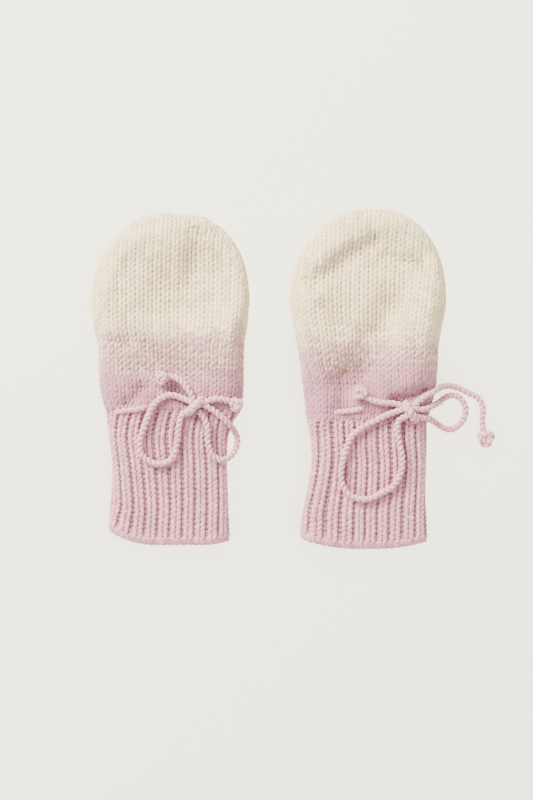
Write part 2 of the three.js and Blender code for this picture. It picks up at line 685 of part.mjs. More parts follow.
// The drawstring's run around the wrist: over the cloth where it shows, and between the panels where it doesn't.
function wristRoute(m) {
  const hidden = WALL + CORD_CLEARANCE + CORD_RADIUS;
  return m.wrist.map(({ x, y, inside }) => {
    const over = upperSurface(m, x, y, 0) + CORD_RADIUS * 0.35;
    return new THREE.Vector3(x, y, over + (hidden - over) * inside);
  });
}

// The height of an end knot's middle, with all of its lobes clear of the cloth.
function endKnotHeight(m, { x, y, reach }, laid) {
  let height = 0;
  for (let i = 0; i < 12; i += 1) {
    const angle = (Math.PI * i) / 6;
    const px = x + reach * Math.cos(angle);
    const py = y + reach * Math.sin(angle);
    height = Math.max(height, restingHeight(m, px, py, laid));
  }
  return height + END_KNOT_RISE;
}

// An overhand knot at a free end, seen from above as three lobes round a sunk middle.
function makeEndKnot({ x, y, reach, turn }, base) {
  const start = THREE.MathUtils.degToRad(turn);
  const lobes = [0, 1, 2].map((lobe) => {
    const points = [];
    for (let i = 0; i <= 8; i += 1) {
      const t = (2 * Math.PI * (lobe + i / 8)) / 3;
      const px = (reach * (Math.sin(t) + 2 * Math.sin(2 * t))) / 3;
      const py = (reach * (Math.cos(t) - 2 * Math.cos(2 * t))) / 3;
      const turned = new THREE.Vector3(px, py, 0).applyAxisAngle(new THREE.Vector3(0, 0, 1), start);
      points.push(new THREE.Vector3(x + turned.x, y + turned.y, base - END_KNOT_RISE * Math.sin(3 * t)));
    }
    return tube(points, CORD_RADIUS);
  });
  const filling = new THREE.SphereGeometry(1, 12, 8);
  filling.scale(END_KNOT_FILLING.x * reach, END_KNOT_FILLING.x * reach, END_KNOT_FILLING.z);
  filling.translate(x, y, base);
  return lobes[0].add(lobes[1]).add(lobes[2]).add(toSolid(filling));
}

function endKnotKeepOut({ x, y, reach }, base) {
  const ball = new THREE.SphereGeometry(reach + CORD_RADIUS + SEAM_GAP, 14, 9);
  ball.translate(x, y, base);
  return toSolid(ball);
}

// A cut can leave loose crumbs: this keeps the one body that matters.
function largestBody(solid) {
  return solid.decompose().sort((a, b) => b.volume() - a.volume())[0];
}

// Everything of one mitten, as named meshes in a group that is placed by the mitten's axis and wrist.
function makeMitten(m) {
  const group = new THREE.Group();
  group.position.set(m.axisX, m.seamY, 0);
  const add = (name, solid, colour) => {
    const mesh = new THREE.Mesh(toGeometry(solid), knitMaterial(colour));
    mesh.name = `${m.name}_${name}`;
    group.add(mesh);
  };
  const wrist = wristRoute(m);
  const channel = tube(wrist, CORD_RADIUS + CORD_CLEARANCE);
  let taken = knotCore(m, SEAM_GAP);
  add("hand", makeHand(m).subtract(channel), CREAM);
  add("cuff", makeCuff(m).subtract(channel), PINK);
  add("drawstring", largestBody(tube(wrist, CORD_RADIUS).subtract(taken)), BLUSH);
  add("bow_knot", makeBowKnot(m), BLUSH);
  taken = taken.add(makeWrap(m, SEAM_GAP));

  // Each strand of the bow is laid on those before it, and gives way to them close to the knot.
  const laid = clearOfKnot(m, smoothCurve(wrist).getSpacedPoints(120));
  taken = taken.add(tube(wrist, CORD_RADIUS + SEAM_GAP));
  for (const strand of m.strands) {
    const points = layStrand(m, strand.route, laid, { first: true, last: !strand.knot });
    let cut = taken;
    if (strand.knot) {
      const base = endKnotHeight(m, strand.knot, laid);
      add(`end_knot_${strand.name}`, makeEndKnot(strand.knot, base), BLUSH);
      cut = taken.add(endKnotKeepOut(strand.knot, base));
    }
    add(strand.name, largestBody(tube(points, CORD_RADIUS).subtract(cut)), BLUSH);
    taken = taken.add(tube(points, CORD_RADIUS + SEAM_GAP));
    laid.push(...clearOfKnot(m, points));
  }
  return group;
}

const mittens = new THREE.Group();
mittens.add(makeMitten(LEFT));
mittens.add(makeMitten(RIGHT));

export default mittens;
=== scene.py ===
# %% [markdown]
# # A pair of baby mittens
# Two thumbless mittens, knitted in the round from soft two-ply yarn, lie flat on a table and are seen from
# straight above. Each has a stocking-stitch hand that shades from cream to pink, a ribbed pink cuff and a twisted
# drawstring tied in a bow. This lesson dresses the plain solids of the mittens with real loops of yarn.
#
# It starts with the solids: they say where everything lies. All lengths in the tables below are in millimetres,
# because a maker thinks in them, and `MM` turns them into Blender's metres.

import math

import bpy
import numpy as np
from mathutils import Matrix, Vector


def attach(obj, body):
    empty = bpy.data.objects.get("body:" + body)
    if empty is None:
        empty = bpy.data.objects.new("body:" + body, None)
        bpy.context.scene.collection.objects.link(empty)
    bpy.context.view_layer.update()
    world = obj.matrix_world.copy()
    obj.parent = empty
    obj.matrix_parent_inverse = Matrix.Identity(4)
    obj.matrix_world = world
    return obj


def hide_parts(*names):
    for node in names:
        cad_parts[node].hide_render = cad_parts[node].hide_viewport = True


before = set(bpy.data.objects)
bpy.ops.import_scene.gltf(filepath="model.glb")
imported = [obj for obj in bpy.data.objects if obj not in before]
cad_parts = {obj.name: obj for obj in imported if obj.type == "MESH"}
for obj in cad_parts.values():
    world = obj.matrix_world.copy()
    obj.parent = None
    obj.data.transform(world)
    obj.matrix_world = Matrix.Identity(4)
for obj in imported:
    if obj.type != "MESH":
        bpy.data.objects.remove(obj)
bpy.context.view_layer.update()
MM = 0.001
print("nodes:", sorted(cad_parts))

# %% [markdown]
# ## The camera
# The photograph was taken from straight above with a long lens, so lines that go up hardly lean at all.
# A 100 mm lens at 0.89 m shows 320 mm from the top of the picture to its foot: 0.4 mm for each pixel. That is
# measured at half the mittens' height.

# %% The camera
PIXEL = 0.4
VIEW_CENTRE = (-0.6, -8.8)
PICTURE_HEIGHT = 800
LENS = 100.0
SENSOR = 36.0
MID_HEIGHT = 5
camera_height = LENS * PICTURE_HEIGHT * PIXEL / SENSOR + MID_HEIGHT

camera_data = bpy.data.cameras.new("camera")
camera_data.lens = LENS
camera_data.sensor_fit = "VERTICAL"
camera_data.sensor_height = SENSOR
camera = bpy.data.objects.new("camera", camera_data)
camera.location = (VIEW_CENTRE[0] * MM, VIEW_CENTRE[1] * MM, camera_height * MM)
bpy.context.scene.collection.objects.link(camera)
bpy.context.scene.camera = camera
print(f"camera {camera_height:.0f} mm above the table")

# %% [markdown]
# ## The form of the cloth
# A mitten that lies flat is a tube pressed together: a roof, a flat floor and round edges. Each mitten has its
# own frame, with y up its middle and y = 0 at the wrist. The outline table gives the reach to either side and the
# height of the roof. Each row of the fold table is a soft trough: the x and y of three points that shape its
# curve, its width and its depth, which is negative for a swelling. The first 9 rows on the left mitten and the
# first 12 on the right one were chosen one by one. The last ten of each were found by a search program, which tried
# shapes at random and kept those that brought a render's shading nearer to the photograph's.
# These are the same tables as the solids have, so the yarn lies where the solids are.

# %% The mittens' tables
WALL = 2.6
FOLD_HEIGHT = 3.3
ROOF_RADIUS = 7.5
FLOOR_RADIUS = 4.2
MOUTH_HEIGHT = 5.9
MOUTH_RADIUS = 5
THINNEST = 5.7
EASE = 0.6

OUTLINE_COLUMNS = ("y", "left", "right", "roof")

LEFT = {
    "name": "left",
    "axis_x": -38.8,
    "seam_y": -13.0,
    "tip_y": 79.4,
    "dome_y": 42.4,
    "dome_power": {"left": 2.08, "right": 2.35},
    "rib_shift": 3.0,
    "rib_pitch": 4.88,
    "rib_top": 0.0,
    "outline": [
        (-54, 25.5, 23.6, 7.8),
        (-47, 25, 23.3, 8),
        (-35, 24.1, 23, 8),
        (-21, 24.1, 22.6, 8.2),
        (-11, 25.2, 22.9, 8.5),
        (-4, 25.8, 25.5, 8.7),
        (0, 26.2, 27.9, 8.8),
        (6, 28, 28.9, 9.4),
        (15, 28.9, 29, 9.8),
        (26, 29.3, 29.2, 9.6),
        (33, 30.8, 30.3, 9.8),
        (42.4, 32, 31.3, 9.8),
        (79.4, 32, 31.3, 9.7),
    ],
    "mouth": {"left_from": -7, "left_lift": 6.2, "right_from": 13, "right_lift": 1.8},
    "rib_moves": [
        (-54, -3, -1.3, -0.6, -0.5, -0.4, 0, 0, 0, 0),
        (-40, 0, 0, 0, 0, 0, 0, 0, 0, 0),
        (-12, -2.2, -2.3, -2.1, -1.6, -1.1, -0.2, 0, -0.3, -0.3),
    ],
    "holes": [(8.8, 74.2), (10.6, 72), (12.8, 69.6), (24.6, 64.6), (25.6, 61.4)],
    "folds": [
        (-22, 18, -21, 38, -17, 56, 6, 1.4),
        (-20, 48, -18, 62, -8, 68, 4.5, 1.2),
        (9.4, 70, 10.6, 62, 7, 52, 4.4, 2.3),
        (-8, 58, -1, 52, 0, 42, 9, 2.2),
        (-8, 24, -2, 19, 6, 15, 5, 1.2),
        (-2.4, 11.5, 2.4, 8, 7.6, 3.8, 2.6, 2.6),
        (-17, 3, -14, 5, -12, 9, 2.6, 1.4),
        (19, 46, 20, 34, 14, 24, 8, -1.1),
        (-20, 12, -22, 14, -20, 18, 4, -0.5),
        (-22, 47, -17, 59, 10, 71, 8, -1.5),
        (-2, 45, 20, 32, 17, 57, 8.5, 1.5),
        (13, 43, 19, 55, 20, 68, 9, 1.5),
        (-21, 34, -21, 60, -7, 69, 6, -1.1),
        (19, 11, 23, 23, 30, 38, 8.5, -1.5),
        (-11, 23, -26, 20, -22, 31, 5.5, -1),
        (24, 34, -16, 25, -23, 48, 9, -1),
        (-16, 13, -9, 12, 4, 14, 9, 1.1),
        (17, 71, -4, 83, -20, 69, 4.3, 0.8),
        (25, 32, 31, 10, 9, 32, 4.5, -0.9),
    ],
}

RIGHT = {
    "name": "right",
    "axis_x": 41.2,
    "seam_y": -13.8,
    "tip_y": 81.8,
    "dome_y": 44,
    "dome_power": {"left": 2.1, "right": 2.3},
    "rib_shift": 1.4,
    "rib_pitch": 5.2,
    "rib_top": -3.0,
    "outline": [
        (-54.8, 28.5, 22.6, 7.8),
        (-47, 28.1, 22.6, 8),
        (-40, 27.2, 22.1, 8),
        (-33, 25.7, 22.1, 8),
        (-21, 24.1, 22.4, 8.2),
        (-12, 24.7, 22.4, 8.5),
        (-4, 25.7, 22.6, 8.8),
        (1, 26.1, 23.8, 9),
        (7, 26.8, 25.4, 10.1),
        (15, 27.6, 26.5, 11.1),
        (25, 29.2, 27, 11.3),
        (31, 30.3, 27.8, 11.1),
        (44, 32.4, 30.1, 10.7),
        (81.8, 32.4, 30.1, 10.3),
    ],
    "mouth": {"left_from": -6, "left_lift": 4.4, "right_from": 2, "right_lift": 3},
    "rib_moves": [
        (-54.8, -0.7, 1.2, 1.8, 2.4, 1.4, 1.1, 0.5, 0.7, 1),
        (-43, -0.7, 1.2, 1.8, 2.4, 1.4, 1.1, 0.5, 0.7, 1),
        (-15, 2, 2.7, 2.3, 1.3, 0.3, -0.3, -0.5, -0.3, -0.5),
    ],
    "holes": [(11.4, 76), (13.2, 74), (17.4, 71.6)],
    "folds": [
        (-23, 52, -12, 62, 1.4, 68.6, 4.8, 3),
        (1.4, 68.6, 2.4, 73, 2, 76, 4, 0.7),
        (6, 63, 12, 60, 19, 59, 3, 1.5),
        (8.4, 56, 7.6, 46, 3, 34, 5, 1.6),
        (-1, 31, -6, 24, -9, 13, 6, 2),
        (-17, 32, -17, 24, -14, 16, 6, 0.8),
        (-10.4, 14, -11.4, 8, -11, 3.6, 3, 1.3),
        (9.4, 4.8, 14, 5, 21, 9, 2.6, 2.8),
        (15, 44, 13, 34, 9, 25, 6, -1.5),
        (20, 52, 21, 43, 18, 32, 7, -1.1),
        (4, 20, 8, 16, 14, 16, 6, -1),
        (-19, 14, -19.5, 8, -19, -1, 4.4, -1.1),
        (-4, 13, 18, 53, 22, 65, 6, 1.5),
        (16, 12, 25, 30, 25, 48, 8, -1.8),
        (-22, 48, -23, 66, 3, 71, 4.5, -1.5),
        (-16, 16, -1, 12, 5, 25, 4.7, 0.9),
        (0, 59, 4, 60, 10, 68, 5.4, 1.3),
        (-7, 28, -24, 19, -23, 58, 8, -1.2),
        (11, 15, 4, 20, -23, 9, 4.8, 0.8),
        (17, 20, 24, 40, 28, 46, 9, -0.8),
        (-5, 12, 1, 22, -7, 49, 9, 1),
        (8, 40, 19, 58, 2, 59, 4.4, 1.1),
    ],
}

# %% [markdown]
# A smooth curve through a table's rows, a quarter circle for the edges, and the distance to a fold are all that
# the form needs. Every function takes whole arrays of points, so thousands of stitches are placed in one step.

# %% Curves through the tables
def column(m, name, y):
    """One column of the outline table at each y, on a smooth curve through its rows."""
    rows = np.array(m["outline"], float)
    ys, values = rows[:, 0], rows[:, OUTLINE_COLUMNS.index(name)]
    last = len(ys) - 1
    i = np.clip(np.searchsorted(ys, y, side="left") - 1, 0, last - 1)
    before, after = np.maximum(i - 1, 0), np.minimum(i + 2, last)
    span = ys[i + 1] - ys[i]
    t = np.clip((y - ys[i]) / span, 0, 1)
    slope_a = span * (values[i + 1] - values[before]) / (ys[i + 1] - ys[before])
    slope_b = span * (values[after] - values[i]) / (ys[after] - ys[i])
    start = (2 * t**3 - 3 * t**2 + 1) * values[i] + (t**3 - 2 * t**2 + t) * slope_a
    return start + (3 * t**2 - 2 * t**3) * values[i + 1] + (t**3 - t**2) * slope_b


def quarter_round(inside, radius):
    """Rises from 0 at the edge to 1 at the radius, as a quarter circle does."""
    share = np.clip(inside / radius, 0, 1)
    return np.sqrt(1 - (1 - share) ** 2)


def fold_distance(fold, x, y):
    """How far each point is from the fold's curve."""
    x0, y0, x1, y1, x2, y2 = fold[:6]
    best = np.full(np.shape(x), np.inf)
    for t in np.linspace(0, 1, 33):
        a, b, c = (1 - t) ** 2, 2 * t * (1 - t), t * t
        best = np.minimum(best, np.hypot(a * x0 + b * x1 + c * x2 - x, a * y0 + b * y1 + c * y2 - y))
    return best


# %% The outline, the roof and the floor
def edges_at(m, y, inset):
    """The outline's left and right x at each y, moved in by the inset."""
    _, wide_left, wide_right, _ = m["outline"][-1]
    rise = np.clip((y - m["dome_y"]) / (m["tip_y"] - inset - m["dome_y"]), 0, 1)
    power = m["dome_power"]
    left_share = (1 - rise ** power["left"]) ** (1 / power["left"])
    right_share = (1 - rise ** power["right"]) ** (1 / power["right"])
    left = np.where(y <= m["dome_y"], inset - column(m, "left", y), (inset - wide_left) * left_share)
    right = np.where(y <= m["dome_y"], column(m, "right", y) - inset, (wide_right - inset) * right_share)
    return left, right


def inside_by(m, x, y, inset):
    """How far each point is inside the outline, in any direction."""
    left, right = edges_at(m, y, inset)
    across = np.minimum(x - left, right - x)
    _, wide_left, wide_right, _ = m["outline"][-1]
    reach = np.where(x < 0, wide_left, wide_right) - inset
    power = np.where(x < 0, m["dome_power"]["left"], m["dome_power"]["right"])
    share = (1 - np.minimum(1, np.abs(x) / reach) ** power) ** (1 / power)
    up = m["dome_y"] + (m["tip_y"] - inset - m["dome_y"]) * share - y
    both = across * up / np.maximum(np.hypot(across, up), 1e-9)
    return np.where(across <= 0, across, np.where(up <= 0, up, both))


def roof_at(m, x, y):
    """The height of the upper surface away from its edges, with its folds and swellings."""
    roof = column(m, "roof", y)
    for fold in m["folds"]:
        width, depth = fold[6:]
        roof = roof - depth * np.exp(-((fold_distance(fold, x, y) / width) ** 2))
    lip = quarter_round(y - m["outline"][0][0], MOUTH_RADIUS)
    spare = MOUTH_HEIGHT + (roof - MOUTH_HEIGHT) * lip - THINNEST
    return THINNEST + (spare + np.sqrt(spare**2 + EASE**2)) / 2


def upper_surface(m, x, y, inset=0.0):
    edge = quarter_round(inside_by(m, x, y, inset), ROOF_RADIUS - inset)
    return FOLD_HEIGHT + (roof_at(m, x, y) - inset - FOLD_HEIGHT) * edge


def lower_surface(m, x, y, inset=0.0):
    edge = quarter_round(inside_by(m, x, y, inset), FLOOR_RADIUS - inset)
    return FOLD_HEIGHT + (inset - FOLD_HEIGHT) * edge


def mouth_lift(m, x, y):
    """The mouth's corners lie nearer to the wrist than its middle."""
    low_y, low_left, low_right, _ = m["outline"][0]
    mouth = m["mouth"]
    fade = np.maximum(0, y / low_y) ** 1.5
    left = np.maximum(0, (mouth["left_from"] - x) / (low_left + mouth["left_from"]))
    right = np.maximum(0, (x - mouth["right_from"]) / (low_right - mouth["right_from"]))
    return fade * (mouth["left_lift"] * left**2 + mouth["right_lift"] * right**2)


middle_roof = [float(upper_surface(m, np.array(0.0), np.array(20.0))) for m in (LEFT, RIGHT)]
print("roof above the middle of the hands, mm:", [round(z, 2) for z in middle_roof])

# %% [markdown]
# A ring is one round of the tube at one y: over the roof from left to right, then back along the floor. Yarn is
# laid by length, not by angle, so each ring also holds the length run so far. `ring_points` then gives the place
# at any length, counted from the middle of the roof.

# %% Rings around the tube
HALF_RING = 240


def make_ring(m, y, inset=0.0):
    t = np.arange(HALF_RING) / HALF_RING
    share = (1 - np.cos(np.pi * t)) / 2
    left, right = (float(e) for e in edges_at(m, np.array(float(y)), inset))
    over = left + (right - left) * share
    under = right - (right - left) * share
    ys = np.full(HALF_RING, float(y))
    x = np.concatenate([over, under, over[:1]])
    z_over = upper_surface(m, over, ys, inset)
    z = np.concatenate([z_over, lower_surface(m, under, ys, inset), z_over[:1]])
    run = np.concatenate([[0], np.cumsum(np.hypot(np.diff(x), np.diff(z)))])
    return {"y": float(y), "x": x, "z": z, "run": run, "middle": run[HALF_RING // 2], "around": run[-1]}


def ring_points(m, ring, length):
    at = (ring["middle"] + length) % ring["around"]
    x = np.interp(at, ring["run"], ring["x"])
    z = np.interp(at, ring["run"], ring["z"])
    y = np.full(np.shape(x), ring["y"])
    if ring["y"] < 0:
        y = y + mouth_lift(m, x, y)
    return np.stack([x, y, z], axis=-1)


def unit(v):
    return v / np.maximum(np.linalg.norm(v, axis=-1, keepdims=True), 1e-12)


print("girth at the middle of the hand, mm:", round(make_ring(LEFT, 30)["around"], 1))

# %% [markdown]
# ## The drawstring's routes
# A cord is limp: it lies on whatever is under it, and passes over itself in a long low hump. Each route is a list
# of x, y points read from the photograph. Its height is found by letting the cord down in small steps, from the
# height of the bow's knot, until it rests on the cloth, the table or a strand that was laid before.

# %% The routes, as seen from above
CORD_RADIUS = 1.35
CORD_CLEARANCE = 0.35
CORD_DROOP = 0.06
SINK_STEPS = 1500
KNOT_CORE = (3.4, 2.8, 2.1)
END_KNOT_RISE = 0.9

LEFT["knot"] = (9.9, 1.8)
LEFT["wrap"] = [(-3, -2.6, -1.2), (-2.2, -1.8, 0.9), (0, 0, 2.2), (1.9, 1.9, 0.9), (2.5, 2.9, -1.2)]
LEFT["wrist"] = [
    (9, 1, 0), (6.6, 1.4, 0.4), (3, 1.8, 1), (-5, 1.9, 1), (-8.4, 1.6, 0.6), (-11.4, 0.8, 0), (-15.8, 0.1, 0),
    (-19.6, -0.3, 0), (-21.8, -0.6, 0.4), (-20, -1.8, 1), (-10, -2, 1), (0, -2, 1), (9, -2, 1), (12.4, -1.5, 0.5),
    (12.8, 0.2, 0),
]
LEFT["strands"] = {
    "loop_left": [
        (8.9, 3.2), (6, 4.4), (2.4, 5.7), (-0.3, 6.2), (-3.6, 5), (-6.6, 2.4), (-9.8, -4.6), (-12.2, -12.2),
        (-11.2, -18), (-5.4, -21.3), (0.3, -19.4), (2.6, -12.4), (3.4, -6.4), (4.6, -1.6), (8, 0),
    ],
    "loop_right": [
        (11, -0.4), (12.9, -2.2), (14.6, -6), (14.9, -13.4), (16.8, -18), (20.8, -19.8),
        (24.6, -17.6), (26.6, -12), (24.8, -7.4), (21.2, -3.4), (17.4, -0.2), (14.4, 1.7), (12, 2.7),
    ],
    "tail_up": [(9.9, 2), (8.3, 6.2), (5.6, 10.2), (2.6, 12.8), (-0.2, 13.6)],
    "tail_side": [(10.2, 2), (14.6, 3.8), (18.6, 4.7), (22.6, 4), (25, 3.2)],
}
LEFT["end_knots"] = {"tail_up": (-3.4, 13.1, 1.9, 100), "tail_side": (26.2, 2.4, 1.8, -20)}

RIGHT["knot"] = (15.4, 0.4)
RIGHT["wrap"] = [(-2.1, 3.2, -1.1), (-1.5, 2.2, 0.9), (-0.3, 0, 2.2), (1.1, -2.2, 0.9), (1.9, -3.2, -1.1)]
RIGHT["wrist"] = [
    (14, 1, 0), (11.6, 1.4, 0.4), (8, 1.8, 1), (2, 1.9, 1), (-1.6, 1.8, 0.6), (-4.6, 1.3, 0), (-8.4, 0.6, 0),
    (-12.4, 0.2, 0), (-15, 0, 0.4), (-14, -1.8, 1), (-6, -2, 1), (4, -2, 1), (13.4, -2, 1), (17.2, -1.5, 0.5),
    (17.8, 0, 0),
]
RIGHT["strands"] = {
    "loop_left": [
        (14, 1.7), (11.6, 1), (6, -1), (1.2, -3.4), (-3.6, -5.8), (-8, -9.6), (-10.6, -16), (-12.2, -25.6),
        (-10.4, -31), (-6.1, -34.1), (-1.2, -34.4), (3.6, -32.2), (8.6, -29.2), (11.6, -23.8),
        (12.2, -18.2), (11, -12.2), (10, -6.4), (11, -2.9), (13.8, -1.5),
    ],
    "loop_right": [
        (16.6, 1.7), (20.2, 1.2), (24, 2.4), (27.6, 4.2), (30, 6), (33.4, 6.9), (36.4, 5.4), (38.3, 0.6),
        (36.4, -4.2), (32.4, -6.9), (28.6, -6), (24, -2.9), (20.6, -2.1), (17, -1.7),
    ],
    "tail_up": [(15.2, 1.4), (11.6, 2.9), (8.8, 3.6), (4.4, 3.9), (0.4, 4.8), (-2, 6.2)],
    "tail_side": [
        (15.6, 1.6), (17.6, 3.6), (20.8, 6.2), (24.8, 8.2), (28, 10.2), (31.8, 10.6), (35.4, 9.8),
        (39.4, 7.8), (42.8, 6.2), (44.9, 3.2), (45.1, 0.2), (44.8, -3), (45.1, -6.4),
    ],
}
RIGHT["end_knots"] = {"tail_up": (-4.6, 7.8, 2, 70), "tail_side": (46.2, -10.4, 2.6, 0)}

# %% [markdown]
# A centripetal Catmull-Rom curve passes through every point of a route without overshooting, which suits a cord:
# its knots in parameter space are spaced by the square root of the distance between points.

# %% Smooth curves through points
def smooth_path(points, step):
    """Points along a smooth curve through the given ones, about one step apart."""
    p = np.array(points, float)
    p = np.vstack([2 * p[0] - p[1], p, 2 * p[-1] - p[-2]])
    fine = []
    for a, b, c, d in zip(p[:-3], p[1:-2], p[2:-1], p[3:]):
        t0 = 0.0
        t1 = t0 + np.linalg.norm(b - a) ** 0.5
        t2 = t1 + np.linalg.norm(c - b) ** 0.5
        t3 = t2 + np.linalg.norm(d - c) ** 0.5
        t = np.linspace(t1, t2, 24, endpoint=False)[:, None]
        ab = (t1 - t) / (t1 - t0) * a + (t - t0) / (t1 - t0) * b
        bc = (t2 - t) / (t2 - t1) * b + (t - t1) / (t2 - t1) * c
        cd = (t3 - t) / (t3 - t2) * c + (t - t2) / (t3 - t2) * d
        abc = (t2 - t) / (t2 - t0) * ab + (t - t0) / (t2 - t0) * bc
        bcd = (t3 - t) / (t3 - t1) * bc + (t - t1) / (t3 - t1) * cd
        fine.append((t2 - t) / (t2 - t1) * abc + (t - t1) / (t2 - t1) * bcd)
    fine = np.vstack([*fine, p[-2:-1]])
    return even_steps(fine, step)


def even_steps(points, step):
    """The same line with its points at even distances."""
    run = np.concatenate([[0], np.cumsum(np.linalg.norm(np.diff(points, axis=0), axis=1))])
    count = max(2, int(math.ceil(run[-1] / step)) + 1)
    at = np.linspace(0, run[-1], count)
    return np.stack([np.interp(at, run, points[:, k]) for k in range(points.shape[1])], axis=1)


def path_length(points):
    return float(np.linalg.norm(np.diff(points, axis=0), axis=1).sum())


# %% Letting a cord down onto what is under it
def resting_height(m, x, y, laid):
    """How high a cord's middle lies at each point, on the cloth, on laid strands or on the table."""
    reach = CORD_RADIUS + CORD_CLEARANCE
    apart = CORD_RADIUS + reach
    height = np.full(np.shape(x), CORD_RADIUS + 0.05)
    for p in laid:
        away = np.hypot(p[0] - x, p[1] - y)
        over = p[2] + np.sqrt(np.maximum(apart**2 - away**2, 0))
        height = np.where(away < apart, np.maximum(height, over), height)
    for share in (0, 0.5, 0.85):
        lift = math.sqrt(reach**2 - (share * reach) ** 2)
        for angle in np.arange(8) * math.pi / 4:
            px = x + share * reach * math.cos(angle)
            py = y + share * reach * math.sin(angle)
            on_cloth = inside_by(m, px, py, 0.0) > 0
            height = np.where(on_cloth, np.maximum(height, upper_surface(m, px, py) + lift), height)
    return height


def knot_centre(m):
    x, y = m["knot"]
    z = float(upper_surface(m, np.array(float(x)), np.array(float(y)))) + KNOT_CORE[2] + 0.6
    return np.array([x, y, z])


def lay_strand(m, route, laid, held_last):
    """The route in space: it starts at the bow's knot and sinks until it lies on what is under it."""
    flat = smooth_path(route, 1.0)
    rest = resting_height(m, flat[:, 0], flat[:, 1], laid)
    knot_z = knot_centre(m)[2]
    height = np.maximum(rest, knot_z)
    free = np.ones(len(height), bool)
    free[0] = False
    free[-1] = not held_last
    for _ in range(SINK_STEPS):
        before = np.concatenate([height[:1], height[:-1]])
        after = np.concatenate([height[1:], height[-1:]])
        lower = np.maximum(rest, (before + after) / 2 - CORD_DROOP)
        height = np.where(free, lower, height)
    return np.column_stack([flat, height])


def clear_of_knot(m, points):
    away = np.linalg.norm(points - knot_centre(m), axis=1)
    return points[away > KNOT_CORE[0] + 2 * CORD_RADIUS]


def wrist_route(m):
    """Over the cloth where the cord shows, and between the panels where it doesn't."""
    hidden = WALL + CORD_CLEARANCE + CORD_RADIUS
    points = []
    for x, y, inside in m["wrist"]:
        over = float(upper_surface(m, np.array(float(x)), np.array(float(y)))) + CORD_RADIUS * 0.35
        points.append((x, y, over + (hidden - over) * inside))
    return smooth_path(points, 0.8)


def end_knot_height(m, x, y, reach, laid):
    angles = np.arange(12) * math.pi / 6
    around = resting_height(m, x + reach * np.cos(angles), y + reach * np.sin(angles), laid)
    return float(around.max()) + END_KNOT_RISE


for m in (LEFT, RIGHT):
    m["wrist_path"] = wrist_route(m)
    laid = list(clear_of_knot(m, m["wrist_path"]))
    m["paths"], m["end_heights"] = {}, {}
    for name, route in m["strands"].items():
        path = lay_strand(m, route, laid, held_last=name.startswith("loop"))
        if name in m["end_knots"]:
            x, y, reach, _ = m["end_knots"][name]
            m["end_heights"][name] = end_knot_height(m, x, y, reach, laid)
        m["paths"][name] = path
        laid.extend(clear_of_knot(m, path))
        print(m["name"], name, f"{path_length(path):.0f} mm, z {path[:, 2].min():.1f} to {path[:, 2].max():.1f}")

# %% [markdown]
# ## The twisted cord
# The drawstring is two plies twisted round each other. A Geometry Nodes tree does what the maker does: it takes
# the cord's path twice, moves each copy out to a helix round the path, with the second half a turn on, and gives
# it the thickness of one ply. `along` and `around` are stored for the material: the length along the ply, and the
# cosine and sine of the angle round it, which have no seam where the angle would jump from a full turn to none.

# %% Helpers for node trees
def new_tree(name, sizes):
    """A Geometry Nodes tree with a geometry input, named sizes, a material input and a geometry output."""
    tree = bpy.data.node_groups.new(name, "GeometryNodeTree")
    tree.interface.new_socket("Geometry", in_out="INPUT", socket_type="NodeSocketGeometry")
    for label, value in sizes.items():
        kind = "NodeSocketInt" if isinstance(value, int) else "NodeSocketFloat"
        tree.interface.new_socket(label, in_out="INPUT", socket_type=kind).default_value = value
    tree.interface.new_socket("Material", in_out="INPUT", socket_type="NodeSocketMaterial")
    tree.interface.new_socket("Geometry", in_out="OUTPUT", socket_type="NodeSocketGeometry")
    return tree, tree.nodes.new("NodeGroupInput"), tree.nodes.new("NodeGroupOutput")


def add_node(tree, kind, inputs=None, **settings):
    """A node with its settings, and its inputs as plain values or as links from other sockets."""
    node = tree.nodes.new(kind)
    for key, value in settings.items():
        setattr(node, key, value)
    for key, value in (inputs or {}).items():
        socket = node.inputs[key]
        if isinstance(value, bpy.types.NodeSocket):
            tree.links.new(value, socket)
        else:
            socket.default_value = value
    return node


def calculate(tree, operation, a, b=0.0, c=0.0):
    inputs = {0: a, 1: b, 2: c}
    return add_node(tree, "ShaderNodeMath", inputs, operation=operation).outputs[0]


def scaled(tree, vector, factor):
    return add_node(tree, "ShaderNodeVectorMath", {0: vector, "Scale": factor}, operation="SCALE").outputs[0]


def vector_step(tree, operation, a, b):
    return add_node(tree, "ShaderNodeVectorMath", {0: a, 1: b}, operation=operation).outputs[0]


def stored(tree, name, data_type):
    return add_node(tree, "GeometryNodeInputNamedAttribute", {"Name": name}, data_type=data_type).outputs[0]


def store(tree, geometry, name, value, data_type):
    inputs = {"Geometry": geometry, "Name": name, "Value": value}
    return add_node(tree, "GeometryNodeStoreNamedAttribute", inputs, data_type=data_type, domain="POINT").outputs[0]


